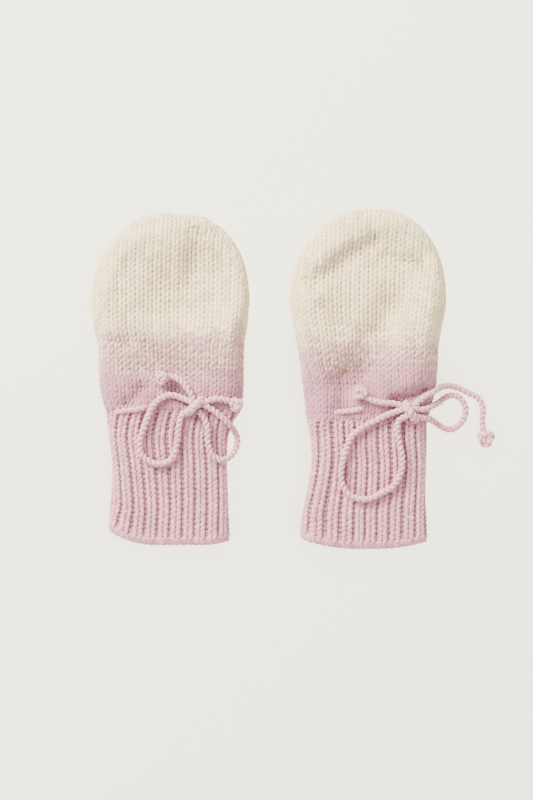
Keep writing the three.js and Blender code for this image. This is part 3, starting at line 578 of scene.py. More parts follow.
def yarn_skin(tree, curve, given, deep, thickness):
    """The last steps of every yarn: a round skin that knows its length, angle and depth, with its material."""
    radius, sides = given.outputs[thickness], given.outputs["Sides"]
    run = add_node(tree, "GeometryNodeSplineParameter").outputs["Length"]
    curve = store(tree, curve, "along", run, "FLOAT")
    circle = add_node(tree, "GeometryNodeCurvePrimitiveCircle", {"Resolution": sides, "Radius": 1.0}).outputs["Curve"]
    place = add_node(tree, "GeometryNodeInputPosition").outputs[0]
    circle = store(tree, circle, "around", place, "FLOAT_VECTOR")
    thin = add_node(tree, "ShaderNodeCombineXYZ", {0: radius, 1: radius, 2: radius}).outputs[0]
    circle = add_node(tree, "GeometryNodeTransform", {"Geometry": circle, "Scale": thin}).outputs[0]
    inputs = {"Curve": curve, "Profile Curve": circle, "Fill Caps": True}
    skin = add_node(tree, "GeometryNodeCurveToMesh", inputs).outputs[0]
    # The depth lets the materials paint shade on yarn that lies deep.
    skin = store(tree, skin, "deep", deep, "FLOAT")
    skin = add_node(tree, "GeometryNodeSetShadeSmooth", {"Geometry": skin}).outputs[0]
    skin = add_node(tree, "GeometryNodeRealizeInstances", {"Geometry": skin}).outputs[0]
    inputs = {"Geometry": skin, "Material": given.outputs["Material"]}
    return add_node(tree, "GeometryNodeSetMaterial", inputs).outputs[0]


# %% The cord's tree
def build_cord_tree():
    sizes = {"Ply radius": 0.00077, "Twist radius": 0.0006, "Lay length": 0.0042, "Plies": 2, "Sides": 8}
    tree, given, result = new_tree("twisted cord", sizes)
    curve = add_node(tree, "GeometryNodeMeshToCurve", {"Mesh": given.outputs["Geometry"]}).outputs[0]
    step = calculate(tree, "DIVIDE", given.outputs["Lay length"], 11.0)
    curve = add_node(tree, "GeometryNodeResampleCurve", {"Curve": curve, "Length": step}, mode="LENGTH").outputs[0]
    inputs = {"Geometry": curve, "Amount": given.outputs["Plies"]}
    copies = add_node(tree, "GeometryNodeDuplicateElements", inputs, domain="SPLINE")
    run = add_node(tree, "GeometryNodeSplineParameter").outputs["Length"]
    turns = calculate(tree, "DIVIDE", run, given.outputs["Lay length"])
    start = calculate(tree, "DIVIDE", copies.outputs["Duplicate Index"], given.outputs["Plies"])
    angle = calculate(tree, "MULTIPLY", calculate(tree, "ADD", turns, start), 2 * math.pi)
    normal = add_node(tree, "GeometryNodeInputNormal").outputs[0]
    tangent = add_node(tree, "GeometryNodeInputTangent").outputs[0]
    across = vector_step(tree, "CROSS_PRODUCT", tangent, normal)
    one = scaled(tree, normal, calculate(tree, "COSINE", angle))
    other = scaled(tree, across, calculate(tree, "SINE", angle))
    out = scaled(tree, vector_step(tree, "ADD", one, other), given.outputs["Twist radius"])
    position = add_node(tree, "GeometryNodeInputPosition").outputs[0]
    known = store(tree, copies.outputs["Geometry"], "core", position, "FLOAT_VECTOR")
    moved = add_node(tree, "GeometryNodeSetPosition", {"Geometry": known, "Offset": out})
    # How far in from the cord's outside each point lies, used for painted shade on the plies' inner sides.
    from_core = vector_step(tree, "SUBTRACT", position, stored(tree, "core", "FLOAT_VECTOR"))
    away = add_node(tree, "ShaderNodeVectorMath", {0: from_core}, operation="LENGTH").outputs["Value"]
    outside = calculate(tree, "ADD", given.outputs["Ply radius"], given.outputs["Twist radius"])
    deep = calculate(tree, "SUBTRACT", outside, away)
    skin = yarn_skin(tree, moved.outputs[0], given, deep, "Ply radius")
    tree.links.new(skin, result.inputs[0])
    return tree


cord_tree = build_cord_tree()
print("cord tree:", len(cord_tree.nodes), "nodes")

# %% [markdown]
# A tree works on an object that holds the bare path. `run_tree` sets the tree's inputs by the sockets'
# identifiers, lets Blender work the result out, and keeps it as a plain mesh without the modifier.

# %% Running a tree on a path
def place(m, points):
    """Points of one mitten's own frame, in millimetres, as places in the scene, in metres."""
    return (np.asarray(points, float) + np.array([m["axis_x"], m["seam_y"], 0.0])) * MM


def line_object(name, vertices, edges):
    mesh = bpy.data.meshes.new(name)
    mesh.from_pydata([tuple(v) for v in vertices], [tuple(e) for e in edges], [])
    piece = bpy.data.objects.new(name, mesh)
    bpy.context.scene.collection.objects.link(piece)
    return piece


def chain(count, start=0, closed=False):
    links = [(start + i, start + i + 1) for i in range(count - 1)]
    return links + [(start + count - 1, start)] if closed else links


def run_tree(piece, tree, material, **sizes):
    modifier = piece.modifiers.new(tree.name, "NODES")
    modifier.node_group = tree
    for item in tree.interface.items_tree:
        if item.item_type != "SOCKET" or item.in_out != "INPUT":
            continue
        key = item.name.replace(" ", "_").lower()
        if key in sizes:
            modifier[item.identifier] = sizes[key]
        if item.name == "Material":
            modifier[item.identifier] = material
    bpy.context.view_layer.update()
    scene_graph = bpy.context.evaluated_depsgraph_get()
    ready = piece.evaluated_get(scene_graph)
    mesh = bpy.data.meshes.new_from_object(ready, preserve_all_data_layers=True, depsgraph=scene_graph)
    piece.modifiers.clear()
    old, piece.data = piece.data, mesh
    bpy.data.meshes.remove(old)
    mesh.name = piece.name
    triangles = sum(len(p.vertices) - 2 for p in mesh.polygons)
    print(piece.name, triangles, "triangles")
    return piece


# %% [markdown]
# ## Materials
# Colours are given as screen values and turned into the linear values that shaders use. They were set by comparing
# patches of a render with the photograph, so under these lamps they look lighter than their numbers say.
# The yarn is soft and fuzzy wool: matt, with a weak sheen where fibres stand up at its edges.

# %% Colours
def colour(red, green, blue):
    def linear(c):
        c /= 255
        return c / 12.92 if c <= 0.04045 else ((c + 0.055) / 1.055) ** 2.4

    return (linear(red), linear(green), linear(blue), 1.0)


CREAM = colour(216, 194, 149)
PINK = colour(191, 123, 132)
ROSE = colour(171, 115, 123)
PALE_PINK = colour(224, 164, 166)
SHELL = colour(250, 196, 186)
# The cuff yarn's pink, darker as painted shade, for the ground behind the ribs.
SHADED_PINK = colour(184, 119, 127)
BLUSH = colour(202, 133, 146)
TABLE = colour(240, 237, 215)

# %% [markdown]
# One shader group makes the look of plied yarn from the stored length and angle. The cosine of the angle less the
# twist is 1 on the crest of one ply and -1 on that of the other, so it tells the plies apart and gives the
# groove between them, where the materials paint shade. Fine noise stretched along the plies stands for the fibres.

# %% The plied yarn group
def attribute(tree, name, output):
    return add_node(tree, "ShaderNodeAttribute", attribute_name=name).outputs[output]


def remap(tree, value, low, high, to_low, to_high, smooth=True):
    inputs = {"Value": value, "From Min": low, "From Max": high, "To Min": to_low, "To Max": to_high}
    kind = "SMOOTHSTEP" if smooth else "LINEAR"
    return add_node(tree, "ShaderNodeMapRange", inputs, interpolation_type=kind).outputs[0]


def build_plied_group():
    tree = bpy.data.node_groups.new("plied yarn", "ShaderNodeTree")
    tree.interface.new_socket("Lay length", in_out="INPUT", socket_type="NodeSocketFloat").default_value = 0.003
    for label in ("Ply", "Crest", "Fibres"):
        tree.interface.new_socket(label, in_out="OUTPUT", socket_type="NodeSocketFloat")
    given, result = tree.nodes.new("NodeGroupInput"), tree.nodes.new("NodeGroupOutput")
    around = add_node(tree, "ShaderNodeSeparateXYZ", {0: attribute(tree, "around", "Vector")})
    cosine, sine = around.outputs[0], around.outputs[1]
    along = attribute(tree, "along", "Fac")
    turns = calculate(tree, "DIVIDE", along, given.outputs["Lay length"])
    twist = calculate(tree, "MULTIPLY", turns, 2 * math.pi)
    twist_cos = calculate(tree, "COSINE", twist)
    twist_sin = calculate(tree, "SINE", twist)
    a = calculate(tree, "MULTIPLY", cosine, twist_cos)
    b = calculate(tree, "MULTIPLY", sine, twist_sin)
    crest = calculate(tree, "ADD", a, b)
    c = calculate(tree, "MULTIPLY", sine, twist_cos)
    d = calculate(tree, "MULTIPLY", cosine, twist_sin)
    flank = calculate(tree, "SUBTRACT", c, d)
    place_on_ply = add_node(
        tree,
        "ShaderNodeCombineXYZ",
        {
            0: calculate(tree, "MULTIPLY", crest, 5.0),
            1: calculate(tree, "MULTIPLY", flank, 5.0),
            2: calculate(tree, "MULTIPLY", along, 700.0),
        },
    ).outputs[0]
    inputs = {"Vector": place_on_ply, "Scale": 1.0, "Detail": 3.0, "Roughness": 0.65}
    noise = add_node(tree, "ShaderNodeTexNoise", inputs).outputs[0]
    tree.links.new(remap(tree, crest, -0.3, 0.3, 0.0, 1.0), result.inputs["Ply"])
    tree.links.new(calculate(tree, "ABSOLUTE", crest), result.inputs["Crest"])
    tree.links.new(noise, result.inputs["Fibres"])
    return tree


plied_group = build_plied_group()

# %% [markdown]
# The maker changed one ply of the yarn from cream to pink about a third of the way down the hand, and the other
# near the wrist. Between the two changes the yarn is marled: one cream ply and one pink one. `dyed yarn` colours
# each ply by how far up the mitten it lies, with a little scatter from stitch to stitch. On the right mitten the
# first change came a few rows later and the second a few sooner, so its marled band is narrower.

# %% The dyed yarn group
def build_dye_group():
    tree = bpy.data.node_groups.new("dyed yarn", "ShaderNodeTree")
    for label, value in (("First change", 0.018), ("Second change", 0.0012), ("Softness", 0.005)):
        tree.interface.new_socket(label, in_out="INPUT", socket_type="NodeSocketFloat").default_value = value
    tree.interface.new_socket("Ply", in_out="INPUT", socket_type="NodeSocketFloat")
    for label, value in (("Upper", CREAM), ("Lower", ROSE)):
        tree.interface.new_socket(label, in_out="INPUT", socket_type="NodeSocketColor").default_value = value
    tree.interface.new_socket("Color", in_out="OUTPUT", socket_type="NodeSocketColor")
    given, result = tree.nodes.new("NodeGroupInput"), tree.nodes.new("NodeGroupOutput")
    coordinates = add_node(tree, "ShaderNodeTexCoord").outputs["Object"]
    parts = add_node(tree, "ShaderNodeSeparateXYZ", {0: coordinates})
    height, on_right = parts.outputs[1], remap(tree, parts.outputs[0], -0.001, 0.001, 0.0, 1.0)
    inputs = {"Vector": coordinates, "Scale": 160.0, "Detail": 2.0}
    cloud = add_node(tree, "ShaderNodeTexNoise", inputs).outputs[0]
    inputs = {"Vector": coordinates, "Scale": 1100.0, "Detail": 2.0}
    heather = add_node(tree, "ShaderNodeTexNoise", inputs).outputs[0]
    height = calculate(tree, "ADD", height, remap(tree, cloud, 0.3, 0.7, -0.0035, 0.0035))
    height = calculate(tree, "ADD", height, remap(tree, heather, 0.3, 0.7, -0.003, 0.003))
    dyed = []
    for change, later in (("First change", 0.0034), ("Second change", -0.0022)):
        low = calculate(tree, "SUBTRACT", given.outputs[change], given.outputs["Softness"])
        high = calculate(tree, "ADD", given.outputs[change], given.outputs["Softness"])
        moved = calculate(tree, "ADD", height, calculate(tree, "MULTIPLY", on_right, later))
        share = remap(tree, moved, low, high, 1.0, 0.0)
        inputs = {"Factor": share, "A": given.outputs["Upper"], "B": given.outputs["Lower"]}
        mix = tree.nodes.new("ShaderNodeMix")
        mix.data_type = "RGBA"
        for socket, value in zip((mix.inputs[0], mix.inputs[6], mix.inputs[7]), inputs.values()):
            tree.links.new(value, socket)
        dyed.append(mix.outputs[2])
    both = tree.nodes.new("ShaderNodeMix")
    both.data_type = "RGBA"
    tree.links.new(given.outputs["Ply"], both.inputs[0])
    tree.links.new(dyed[0], both.inputs[6])
    tree.links.new(dyed[1], both.inputs[7])
    tree.links.new(both.outputs[2], result.inputs[0])
    return tree


dye_group = build_dye_group()

# %% [markdown]
# Each yarn material puts the two groups together. The shader itself stays in the material. The sheen, roughness
# and specular level are the same all over, so they are plain numbers on the shader's own sockets. The colour is
# darkened as painted shade in the groove between the plies. Yarn that lies deep in the cloth gets less light than
# any lamp can show, so its colour is darkened with its depth as painted shade, a little less in blue than in red.
# The yarn of the cuffs and cords is marled all the way, with a pale and a pink ply.

# %% Yarn materials
PLY_SHARES = (0.12, 0.55)
FIBRE_SHADES = (0.78, 1.22)
STITCH_SHADES = (0.87, 1.12)


def colour_mix(tree, mode, factor, a, b):
    mix = tree.nodes.new("ShaderNodeMix")
    mix.data_type = "RGBA"
    mix.blend_type = mode
    for socket, value in zip((mix.inputs[0], mix.inputs[6], mix.inputs[7]), (factor, a, b)):
        if isinstance(value, bpy.types.NodeSocket):
            tree.links.new(value, socket)
        else:
            socket.default_value = value
    return mix.outputs[2]


def grey(tree, value):
    return add_node(tree, "ShaderNodeCombineXYZ", {0: value, 1: value, 2: value}).outputs[0]


def matt_material(name, roughness, specular):
    material = bpy.data.materials.new(name)
    material.use_nodes = True
    shader = material.node_tree.nodes["Principled BSDF"]
    shader.inputs["Roughness"].default_value = roughness
    shader.inputs["Specular IOR Level"].default_value = specular
    return material, material.node_tree, shader


def yarn_material(
    name, upper, lower, lay, groove=0.78, pit_shade=(0.0002, 0.0019, 0.7), pit_shade_tint=(1.0, 1.12, 1.28), marled=False
):
    material, tree, shader = matt_material(name, 0.92, 0.15)
    plied = add_node(tree, "ShaderNodeGroup", node_tree=plied_group)
    plied.inputs["Lay length"].default_value = lay
    dyed = add_node(tree, "ShaderNodeGroup", node_tree=dye_group)
    dyed.inputs["Upper"].default_value = upper
    dyed.inputs["Lower"].default_value = lower
    if marled:  # one ply in each colour all the way, with both changes far beyond the mitten's ends
        dyed.inputs["First change"].default_value = 1.0
        dyed.inputs["Second change"].default_value = -1.0
    tree.links.new(remap(tree, plied.outputs["Ply"], 0.0, 1.0, *PLY_SHARES), dyed.inputs["Ply"])
    # Painted shade in the groove between the plies: the colour falls to the groove share there.
    shade = remap(tree, plied.outputs["Crest"], 0.0, 0.8, groove, 1.0)
    fibre = remap(tree, plied.outputs["Fibres"], 0.25, 0.75, *FIBRE_SHADES)
    tint = remap(tree, attribute(tree, "tint", "Fac"), 0.0, 1.0, *STITCH_SHADES, smooth=False)
    # Painted shade with depth: deeper yarn is darkened towards the darkest share, a little less in blue than in red.
    from_depth, to_depth, darkest = pit_shade
    sunk = remap(tree, attribute(tree, "deep", "Fac"), from_depth, to_depth, 0.0, 1.0)
    pit_shade_colour = colour_mix(tree, "MIX", sunk, (1, 1, 1, 1), (*(darkest * t for t in pit_shade_tint), 1))
    shade = calculate(tree, "MULTIPLY", calculate(tree, "MULTIPLY", shade, fibre), tint)
    base = colour_mix(tree, "MULTIPLY", 1.0, dyed.outputs[0], grey(tree, shade))
    base = colour_mix(tree, "MULTIPLY", 1.0, base, pit_shade_colour)
    tree.links.new(base, shader.inputs["Base Color"])
    height = calculate(tree, "ADD", plied.outputs["Crest"], plied.outputs["Fibres"])
    bump = add_node(tree, "ShaderNodeBump", {"Strength": 0.5, "Distance": 0.0002, "Height": height})
    tree.links.new(bump.outputs[0], shader.inputs["Normal"])
    shader.inputs["Sheen Weight"].default_value = 0.25
    shader.inputs["Sheen Roughness"].default_value = 0.6
    return material


# The groove and pit settings say how dark the painted shade is between the plies and deep in the cloth.
hand_yarn = yarn_material("hand yarn", CREAM, ROSE, 0.003, groove=0.84)
cuff_painted_shade = {"pit_shade": (0.0003, 0.0024, 0.46), "pit_shade_tint": (1.0, 1.07, 1.1)}
cuff_yarn = yarn_material("cuff yarn", PALE_PINK, PINK, 0.0024, **cuff_painted_shade, marled=True)
band_painted_shade = {"groove": 0.94, "pit_shade": (0.0005, 0.0016, 0.88)}
band_yarn = yarn_material("cast-on yarn", PALE_PINK, PINK, 0.003, **band_painted_shade, marled=True)
cord_painted_shade = {"groove": 0.9, "pit_shade": (0.0001, 0.0011, 0.6)}
cord_yarn = yarn_material("cord yarn", SHELL, BLUSH, 0.0016, **cord_painted_shade, marled=True)
print("materials:", [m.name for m in (hand_yarn, cuff_yarn, cord_yarn)])

# %% [markdown]
# ## The cords of the bow
# Two strands leave the bow's knot on each mitten. One makes the left loop, passes back through the knot and ends
# as the side tail. The other makes the right loop and ends as the other tail. Each is a single free cord with a
# knot at its end. A short stretch through the knot joins loop and tail.

# %% Strands, wrist runs and knots
ROOT = "root"


def cord_piece(m, name, points, replaced, closed=False, **sizes):
    points = place(m, points)
    count = len(points)
    piece = line_object(f"{m['name']}_{name}", points, chain(count, closed=closed))
    run_tree(piece, cord_tree, cord_yarn, **sizes)
    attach(piece, ROOT)
    if replaced:
        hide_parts(*(f"{m['name']}_{node}" for node in replaced))
    return piece


def end_knot_path(x, y, reach, turn, height):
    """An overhand knot pulled round: a line with three lobes that passes over and under itself."""
    t = np.linspace(0, 2 * np.pi, 72, endpoint=False)
    px = reach * (0.65 * np.sin(t) + 2 * np.sin(2 * t)) / 2.65
    py = reach * (0.65 * np.cos(t) - 2 * np.cos(2 * t)) / 2.65
    c, s = math.cos(math.radians(turn)), math.sin(math.radians(turn))
    return np.column_stack([x + c * px - s * py, y + s * px + c * py, height - END_KNOT_RISE * np.sin(3 * t)])


def bow_strand(m, loop, tail):
    """The loop, the stretch through the knot, the tail and the way into its end knot as one path."""
    first, last = m["paths"][loop], m["paths"][tail]
    x, y, reach, _ = m["end_knots"][tail]
    centre = np.array([x, y, m["end_heights"][tail]])
    into = centre + unit(last[-1] - centre) * 0.75 * reach
    return even_steps(np.vstack([first, knot_centre(m)[None, :], last[2:], into[None, :]]), 0.8)


for m in (LEFT, RIGHT):
    for tail, (x, y, reach, turn) in m["end_knots"].items():
        ring = end_knot_path(x, y, reach, turn, m["end_heights"][tail])
        cord_piece(m, f"end_knot_of_{tail}", ring, [f"end_knot_{tail}"], closed=True)
    for strand, loop, tail in (("strand_one", "loop_left", "tail_side"), ("strand_two", "loop_right", "tail_up")):
        path = bow_strand(m, loop, tail)
        piece = cord_piece(m, strand, path, [loop, tail])
        route = [tuple(p) for p in place(m, path)]
        length = path_length(path) * MM
        print(piece.name, f"{length * 1000:.0f} mm")

# %% The run through the wrist, and the knot's wrap
for m in (LEFT, RIGHT):
    cord_piece(m, "wrist_run", m["wrist_path"], ["drawstring"], ply_radius=0.00069, twist_radius=0.00052)
    centre = knot_centre(m)
    arch = smooth_path([centre + np.array(p, float) for p in m["wrap"]], 0.6)
    cord_piece(m, "knot_wrap", arch, ["bow_knot"], ply_radius=0.00105, twist_radius=0.00075, lay_length=0.0044)

# %% [markdown]
# ## The knitted cloth
# A knitted round is one yarn that runs through all its stitches in turn. In each stitch it rises to a head, comes
# down a leg and turns along a sinker to the next. Seen along the fabric that is a wave: up and down with the
# cosine of the stitch's phase, to and fro with the sine of twice the phase, and in and out with the cosine of
# twice the phase. The guide line of a round lies on the cloth's surface and holds the phase and the three
# directions, and a Geometry Nodes tree turns the guide lines into loops.

# %% The knitting tree
def build_knit_tree():
    sizes = {
        "Yarn radius": 0.00093,
        "Lean": 0.21,
        "Pinch": 0.15,
        "Height": 0.98,
        "Depth": 0.00042,
        "Tuck": 0.0002,
        "Sides": 6,
    }
    tree, given, result = new_tree("knitted loops", sizes)
    phase = stored(tree, "phase", "FLOAT")
    double = calculate(tree, "MULTIPLY", phase, 2.0)
    pinch = calculate(tree, "MULTIPLY", calculate(tree, "COSINE", phase), given.outputs["Pinch"])
    lean = calculate(tree, "MULTIPLY", calculate(tree, "SINE", double), given.outputs["Lean"])
    lean = calculate(tree, "MULTIPLY", lean, calculate(tree, "SUBTRACT", 1.0, pinch))
    rise = calculate(tree, "MULTIPLY", calculate(tree, "COSINE", phase), given.outputs["Height"])
    swing = calculate(tree, "MULTIPLY", calculate(tree, "COSINE", double), stored(tree, "face", "FLOAT"))
    swing = calculate(tree, "MULTIPLY_ADD", swing, given.outputs["Depth"], given.outputs["Depth"])
    tuck = calculate(tree, "MULTIPLY", calculate(tree, "COSINE", phase), given.outputs["Tuck"])
    sunk = calculate(tree, "ADD", calculate(tree, "ADD", swing, tuck), stored(tree, "sink", "FLOAT"))
    sunk = calculate(tree, "ADD", sunk, given.outputs["Yarn radius"])
    sideways = scaled(tree, stored(tree, "side", "FLOAT_VECTOR"), lean)
    upward = scaled(tree, stored(tree, "up", "FLOAT_VECTOR"), rise)
    inward = scaled(tree, stored(tree, "out", "FLOAT_VECTOR"), calculate(tree, "MULTIPLY", sunk, -1.0))
    offset = vector_step(tree, "ADD", vector_step(tree, "ADD", sideways, upward), inward)
    position = add_node(tree, "GeometryNodeInputPosition").outputs[0]
    known = store(tree, given.outputs["Geometry"], "core", position, "FLOAT_VECTOR")
    loops = add_node(tree, "GeometryNodeSetPosition", {"Geometry": known, "Offset": offset})
    curve = add_node(tree, "GeometryNodeMeshToCurve", {"Mesh": loops.outputs[0]}).outputs[0]
    # How far below the cloth's surface the yarn lies, used for painted shade in the hollows.
    below = vector_step(tree, "SUBTRACT", stored(tree, "core", "FLOAT_VECTOR"), position)
    inputs = {0: below, 1: stored(tree, "out", "FLOAT_VECTOR")}
    deep = add_node(tree, "ShaderNodeVectorMath", inputs, operation="DOT_PRODUCT").outputs["Value"]
    skin = yarn_skin(tree, curve, given, deep, "Yarn radius")
    tree.links.new(skin, result.inputs[0])
    return tree


knit_tree = build_knit_tree()
print("knitting tree:", len(knit_tree.nodes), "nodes")

# %% [markdown]
# The guide lines need three directions at each point: `side` along the round, `up` towards the fingertips and
# `out` away from the cloth. They come from the places of near points on the same round and on the rounds just
# above and below.

# %% Directions on the cloth
POINTS_PER_STITCH = 12
SWELL = 0.3
HOLE_REACH = 1.1
HOLE_SINK = 0.45
UNEVEN = {"height": 0.07, "width": 0.05, "sink": 0.05}
rng = np.random.default_rng(11)


def cloth_frame(m, y, length):
    delta = 0.12
    low, high = m["outline"][0][0], m["tip_y"] - 0.03
    ring = make_ring(m, min(max(y, low), high))
    above = make_ring(m, min(ring["y"] + delta, high))
    below = make_ring(m, max(ring["y"] - delta, low))
    here = ring_points(m, ring, length)
    side = unit(ring_points(m, ring, length + delta) - ring_points(m, ring, length - delta))
    next_up = ring_points(m, above, length * above["around"] / ring["around"])
    next_down = ring_points(m, below, length * below["around"] / ring["around"])
    slope = unit(next_up - next_down)
    out = unit(np.cross(side, slope))
    north = np.array([0.0, 1.0, 0.0])
    up = north - (out @ north)[:, None] * out
    steep = np.linalg.norm(up, axis=1) < 0.15
    up = np.where(steep[:, None], slope, unit(up))
    return here, side, up, out


def round_spacing(m, y_below, y_above, y, length):
    """How far apart the rounds next to this one lie, at each of its points."""
    around = make_ring(m, y)["around"]
    places = []
    for level in (y_below, y_above):
        ring = make_ring(m, level)
        places.append(ring_points(m, ring, length * ring["around"] / around))
    return np.linalg.norm(places[1] - places[0], axis=1) / 2


# %% [markdown]
# The hand is stocking stitch, all knit. Its rounds lie a row apart along the surface. In the dome the columns
# stay upright and keep their width, and four stitches at a time are lost at the two edges, as in a real mitten.

# %% Guide lines of the hand
ROW = 2.36
STITCHES = 40


def hand_levels(m):
    """The y of each round, a row apart along the middle of the roof."""
    y = np.linspace(m["rib_top"], m["tip_y"] - 0.01, 3000)
    z = upper_surface(m, np.zeros_like(y), y)
    run = np.concatenate([[0], np.cumsum(np.hypot(np.diff(y), np.diff(z)))])
    rows = np.arange(0.62 * ROW, run[-1] - 0.8 * ROW, ROW)
    return np.interp(rows, run, y)


def stitch_borders(m, y):
    """Where the stitches of one round begin and end, as lengths from the middle of the roof."""
    around = make_ring(m, y)["around"]
    if y <= m["dome_y"]:
        return (np.arange(STITCHES + 1) / STITCHES - 0.5) * around
    width = make_ring(m, m["dome_y"])["around"] / STITCHES
    quarter = max(1, int(round(around / 4 / width)))
    kept = max(0, quarter - 2)
    edge = np.linspace(kept * width, around / 4, quarter - kept + 1)
    one = np.concatenate([np.arange(kept) * width, edge])
    half = np.concatenate([one, around / 2 - one[-2::-1]])
    return np.concatenate([-half[:0:-1], half])


def guide_round(m, y, borders, y_below, y_above):
    centres = (borders[1:] + borders[:-1]) / 2
    widths = np.diff(borders)
    count = len(centres)
    phase = np.tile(-np.pi + 2 * np.pi * np.arange(POINTS_PER_STITCH) / POINTS_PER_STITCH, count)
    which = np.repeat(np.arange(count), POINTS_PER_STITCH)
    length = centres[which] + widths[which] * phase / (2 * np.pi)
    here, side, up, out = cloth_frame(m, y, length)
    spacing = np.clip(round_spacing(m, y_below, y_above, y, length), 0.7 * ROW, 1.4 * ROW)
    middle = np.arange(count) * POINTS_PER_STITCH + POINTS_PER_STITCH // 2
    for _ in range(8):
        heads = (here + up * spacing[:, None])[middle]
        outside = inside_by(m, heads[:, 0], heads[:, 1], 0.0) < 0
        spacing = np.where(outside[which], 0.85 * spacing, spacing)
    wobble = 1 + UNEVEN["height"] * rng.standard_normal(count)
    swell = SWELL * np.clip(1 + out[:, 2:] / 0.5, 0, 1)
    sink = np.abs(rng.normal(0, UNEVEN["sink"], count))
    on_top = out[middle, 2] > 0
    for x, hole_y in m["holes"]:
        near = on_top & (np.hypot(here[middle, 0] - x, here[middle, 1] - hole_y) < HOLE_REACH)
        sink = sink + HOLE_SINK * near
    stretch = 1 + UNEVEN["width"] * rng.standard_normal(count)
    return {
        "place": here + out * swell,
        "phase": phase,
        "side": side * (widths[which] * stretch[which])[:, None],
        "up": up * (spacing * wobble[which])[:, None],
        "out": out,
        "face": np.ones(len(phase)),
        "sink": sink[which],
        "tint": rng.random(count)[which],
    }


# %% [markdown]
# The cuff is one-by-one rib: knit columns stand up and the purl columns between them sink, with their loops
# turned the other way. `face` is 1 in a knit stitch and -1 in a purl one, and fades at the stitch's ends, where
# the yarn passes from the front to the back.

# %% Guide lines of the cuff
RIBS = 20
RIBS_KEPT = 4.5
RIB_ROW = 2.0
RIB_DEPTH = 1.7
KNIT_SHARE = 0.87
BAND = 2.2
RIB_FADE = 2.2
MOVE_MARKS = (-7.5, -4.5, -3.5, -2.5, -1.5, -0.5, 0.5, 1.5, 2.5, 3.5, 6.5)


def spare_width(m, around):
    """What each rib beneath is wider than one on top."""
    return (around / 2 - RIBS / 2 * m["rib_pitch"]) / (RIBS / 2 - RIBS_KEPT)


def rib_move(m, y, rib):
    """How far a rib strays from its even place at this y, as the photograph shows it."""
    rows = np.array(m["rib_moves"], float)
    here = [np.interp(y, rows[:, 0], rows[:, k]) for k in range(1, rows.shape[1])]
    return np.interp(rib, MOVE_MARKS, [0, *here, 0])


def rib_length(m, y, around, rib):
    """The length along a ring at which a rib lies, counted in ribs from the middle one."""
    beyond = np.maximum(0, np.abs(rib) - RIBS_KEPT)
    even = m["rib_shift"] + rib * m["rib_pitch"] + np.sign(rib) * beyond * spare_width(m, around)
    return even + rib_move(m, y, rib)


def rib_at(m, y, around, length):
    """Which rib lies at a length along a ring: the reverse of rib_length."""
    ribs = np.linspace(-RIBS / 2, RIBS / 2, 401)
    return np.interp(length, rib_length(m, y, around, ribs), ribs, period=around)


def rib_fade(m, y):
    """0 on the plain band at the mouth, rising to 1 where the ribs have their full depth."""
    from_mouth = np.clip((y - m["outline"][0][0] - BAND) / RIB_FADE, 0.0, 1.0)
    return from_mouth * np.clip((m["rib_top"] + 0.4 - y) / 0.8, 0.0, 1.0)


def rib_round(m, y, y_below, y_above):
    ribs = np.arange(RIBS + 1)[:, None] - RIBS / 2 + np.array([-KNIT_SHARE / 2, KNIT_SHARE / 2])
    edges = rib_length(m, y, make_ring(m, y)["around"], ribs.ravel()[:-1])
    guide = guide_round(m, y, edges, y_below, y_above)
    is_purl = np.repeat(np.arange(2 * RIBS) % 2, POINTS_PER_STITCH) == 1
    phase = guide["phase"]
    turn = 1 - np.abs(phase / np.pi) ** 6
    guide["face"] = np.where(is_purl, -0.2, 1.0) * turn
    border = 0.65 * np.abs(phase / np.pi) ** 3
    valley = 0.65 + 0.35 * np.cos(phase / 2) ** 2
    guide["sink"] = guide["sink"] + RIB_DEPTH * rib_fade(m, y) * np.where(is_purl, valley, border)
    return guide


def cuff_levels(m):
    low = m["outline"][0][0] + BAND + 1.0
    top = m["rib_top"] - 0.32 * RIB_ROW
    return np.linspace(low, top, int(round((top - low) / RIB_ROW)) + 1)


# %% Knitting a piece from its guide lines
RIB_STITCH = {"lean": 0.19, "pinch": 0.55, "tuck": 0.00028, "yarn_radius": 0.00083}
VECTORS = ("side", "up", "out")
LENGTHS = ("side", "up", "sink")


def knit_piece(m, name, guides, material, **sizes):
    vertices, edges, start = [], [], 0
    for guide in guides:
        count = len(guide["place"])
        vertices.append(place(m, guide["place"]))
        edges.extend(chain(count, start, closed=True))
        start += count
    piece = line_object(f"{m['name']}_{name}", np.vstack(vertices), edges)
    for key in ("phase", "face", "sink", "tint", "side", "up", "out"):
        values = np.concatenate([guide[key] for guide in guides])
        values = values * (MM if key in LENGTHS else 1.0)
        kind = "FLOAT_VECTOR" if key in VECTORS else "FLOAT"
        layer = piece.data.attributes.new(key, kind, "POINT")
        layer.data.foreach_set("vector" if key in VECTORS else "value", values.astype(np.float32).ravel())
    run_tree(piece, knit_tree, material, **sizes)
    for key in ("phase", "face", "sink", "side", "up", "out", "core"):
        if key in piece.data.attributes:
            piece.data.attributes.remove(piece.data.attributes[key])
    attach(piece, ROOT)
    return piece


for m in (LEFT, RIGHT):
    levels = hand_levels(m)
    guides = []
    for i, y in enumerate(levels):
        y_below = levels[i - 1] if i else y - ROW
        y_above = levels[i + 1] if i + 1 < len(levels) else min(y + ROW, m["tip_y"] - 0.03)
        guides.append(guide_round(m, y, stitch_borders(m, y), max(y_below, m["rib_top"]), y_above))
    knit_piece(m, "hand_stitches", guides, hand_yarn)
    levels = cuff_levels(m)
    guides = [rib_round(m, y, y - RIB_ROW, min(y + RIB_ROW, m["rib_top"])) for y in levels]
    knit_piece(m, "cuff_stitches", guides, cuff_yarn, **RIB_STITCH)
    print(m["name"], "rows in the hand and cuff:", len(hand_levels(m)), len(levels))

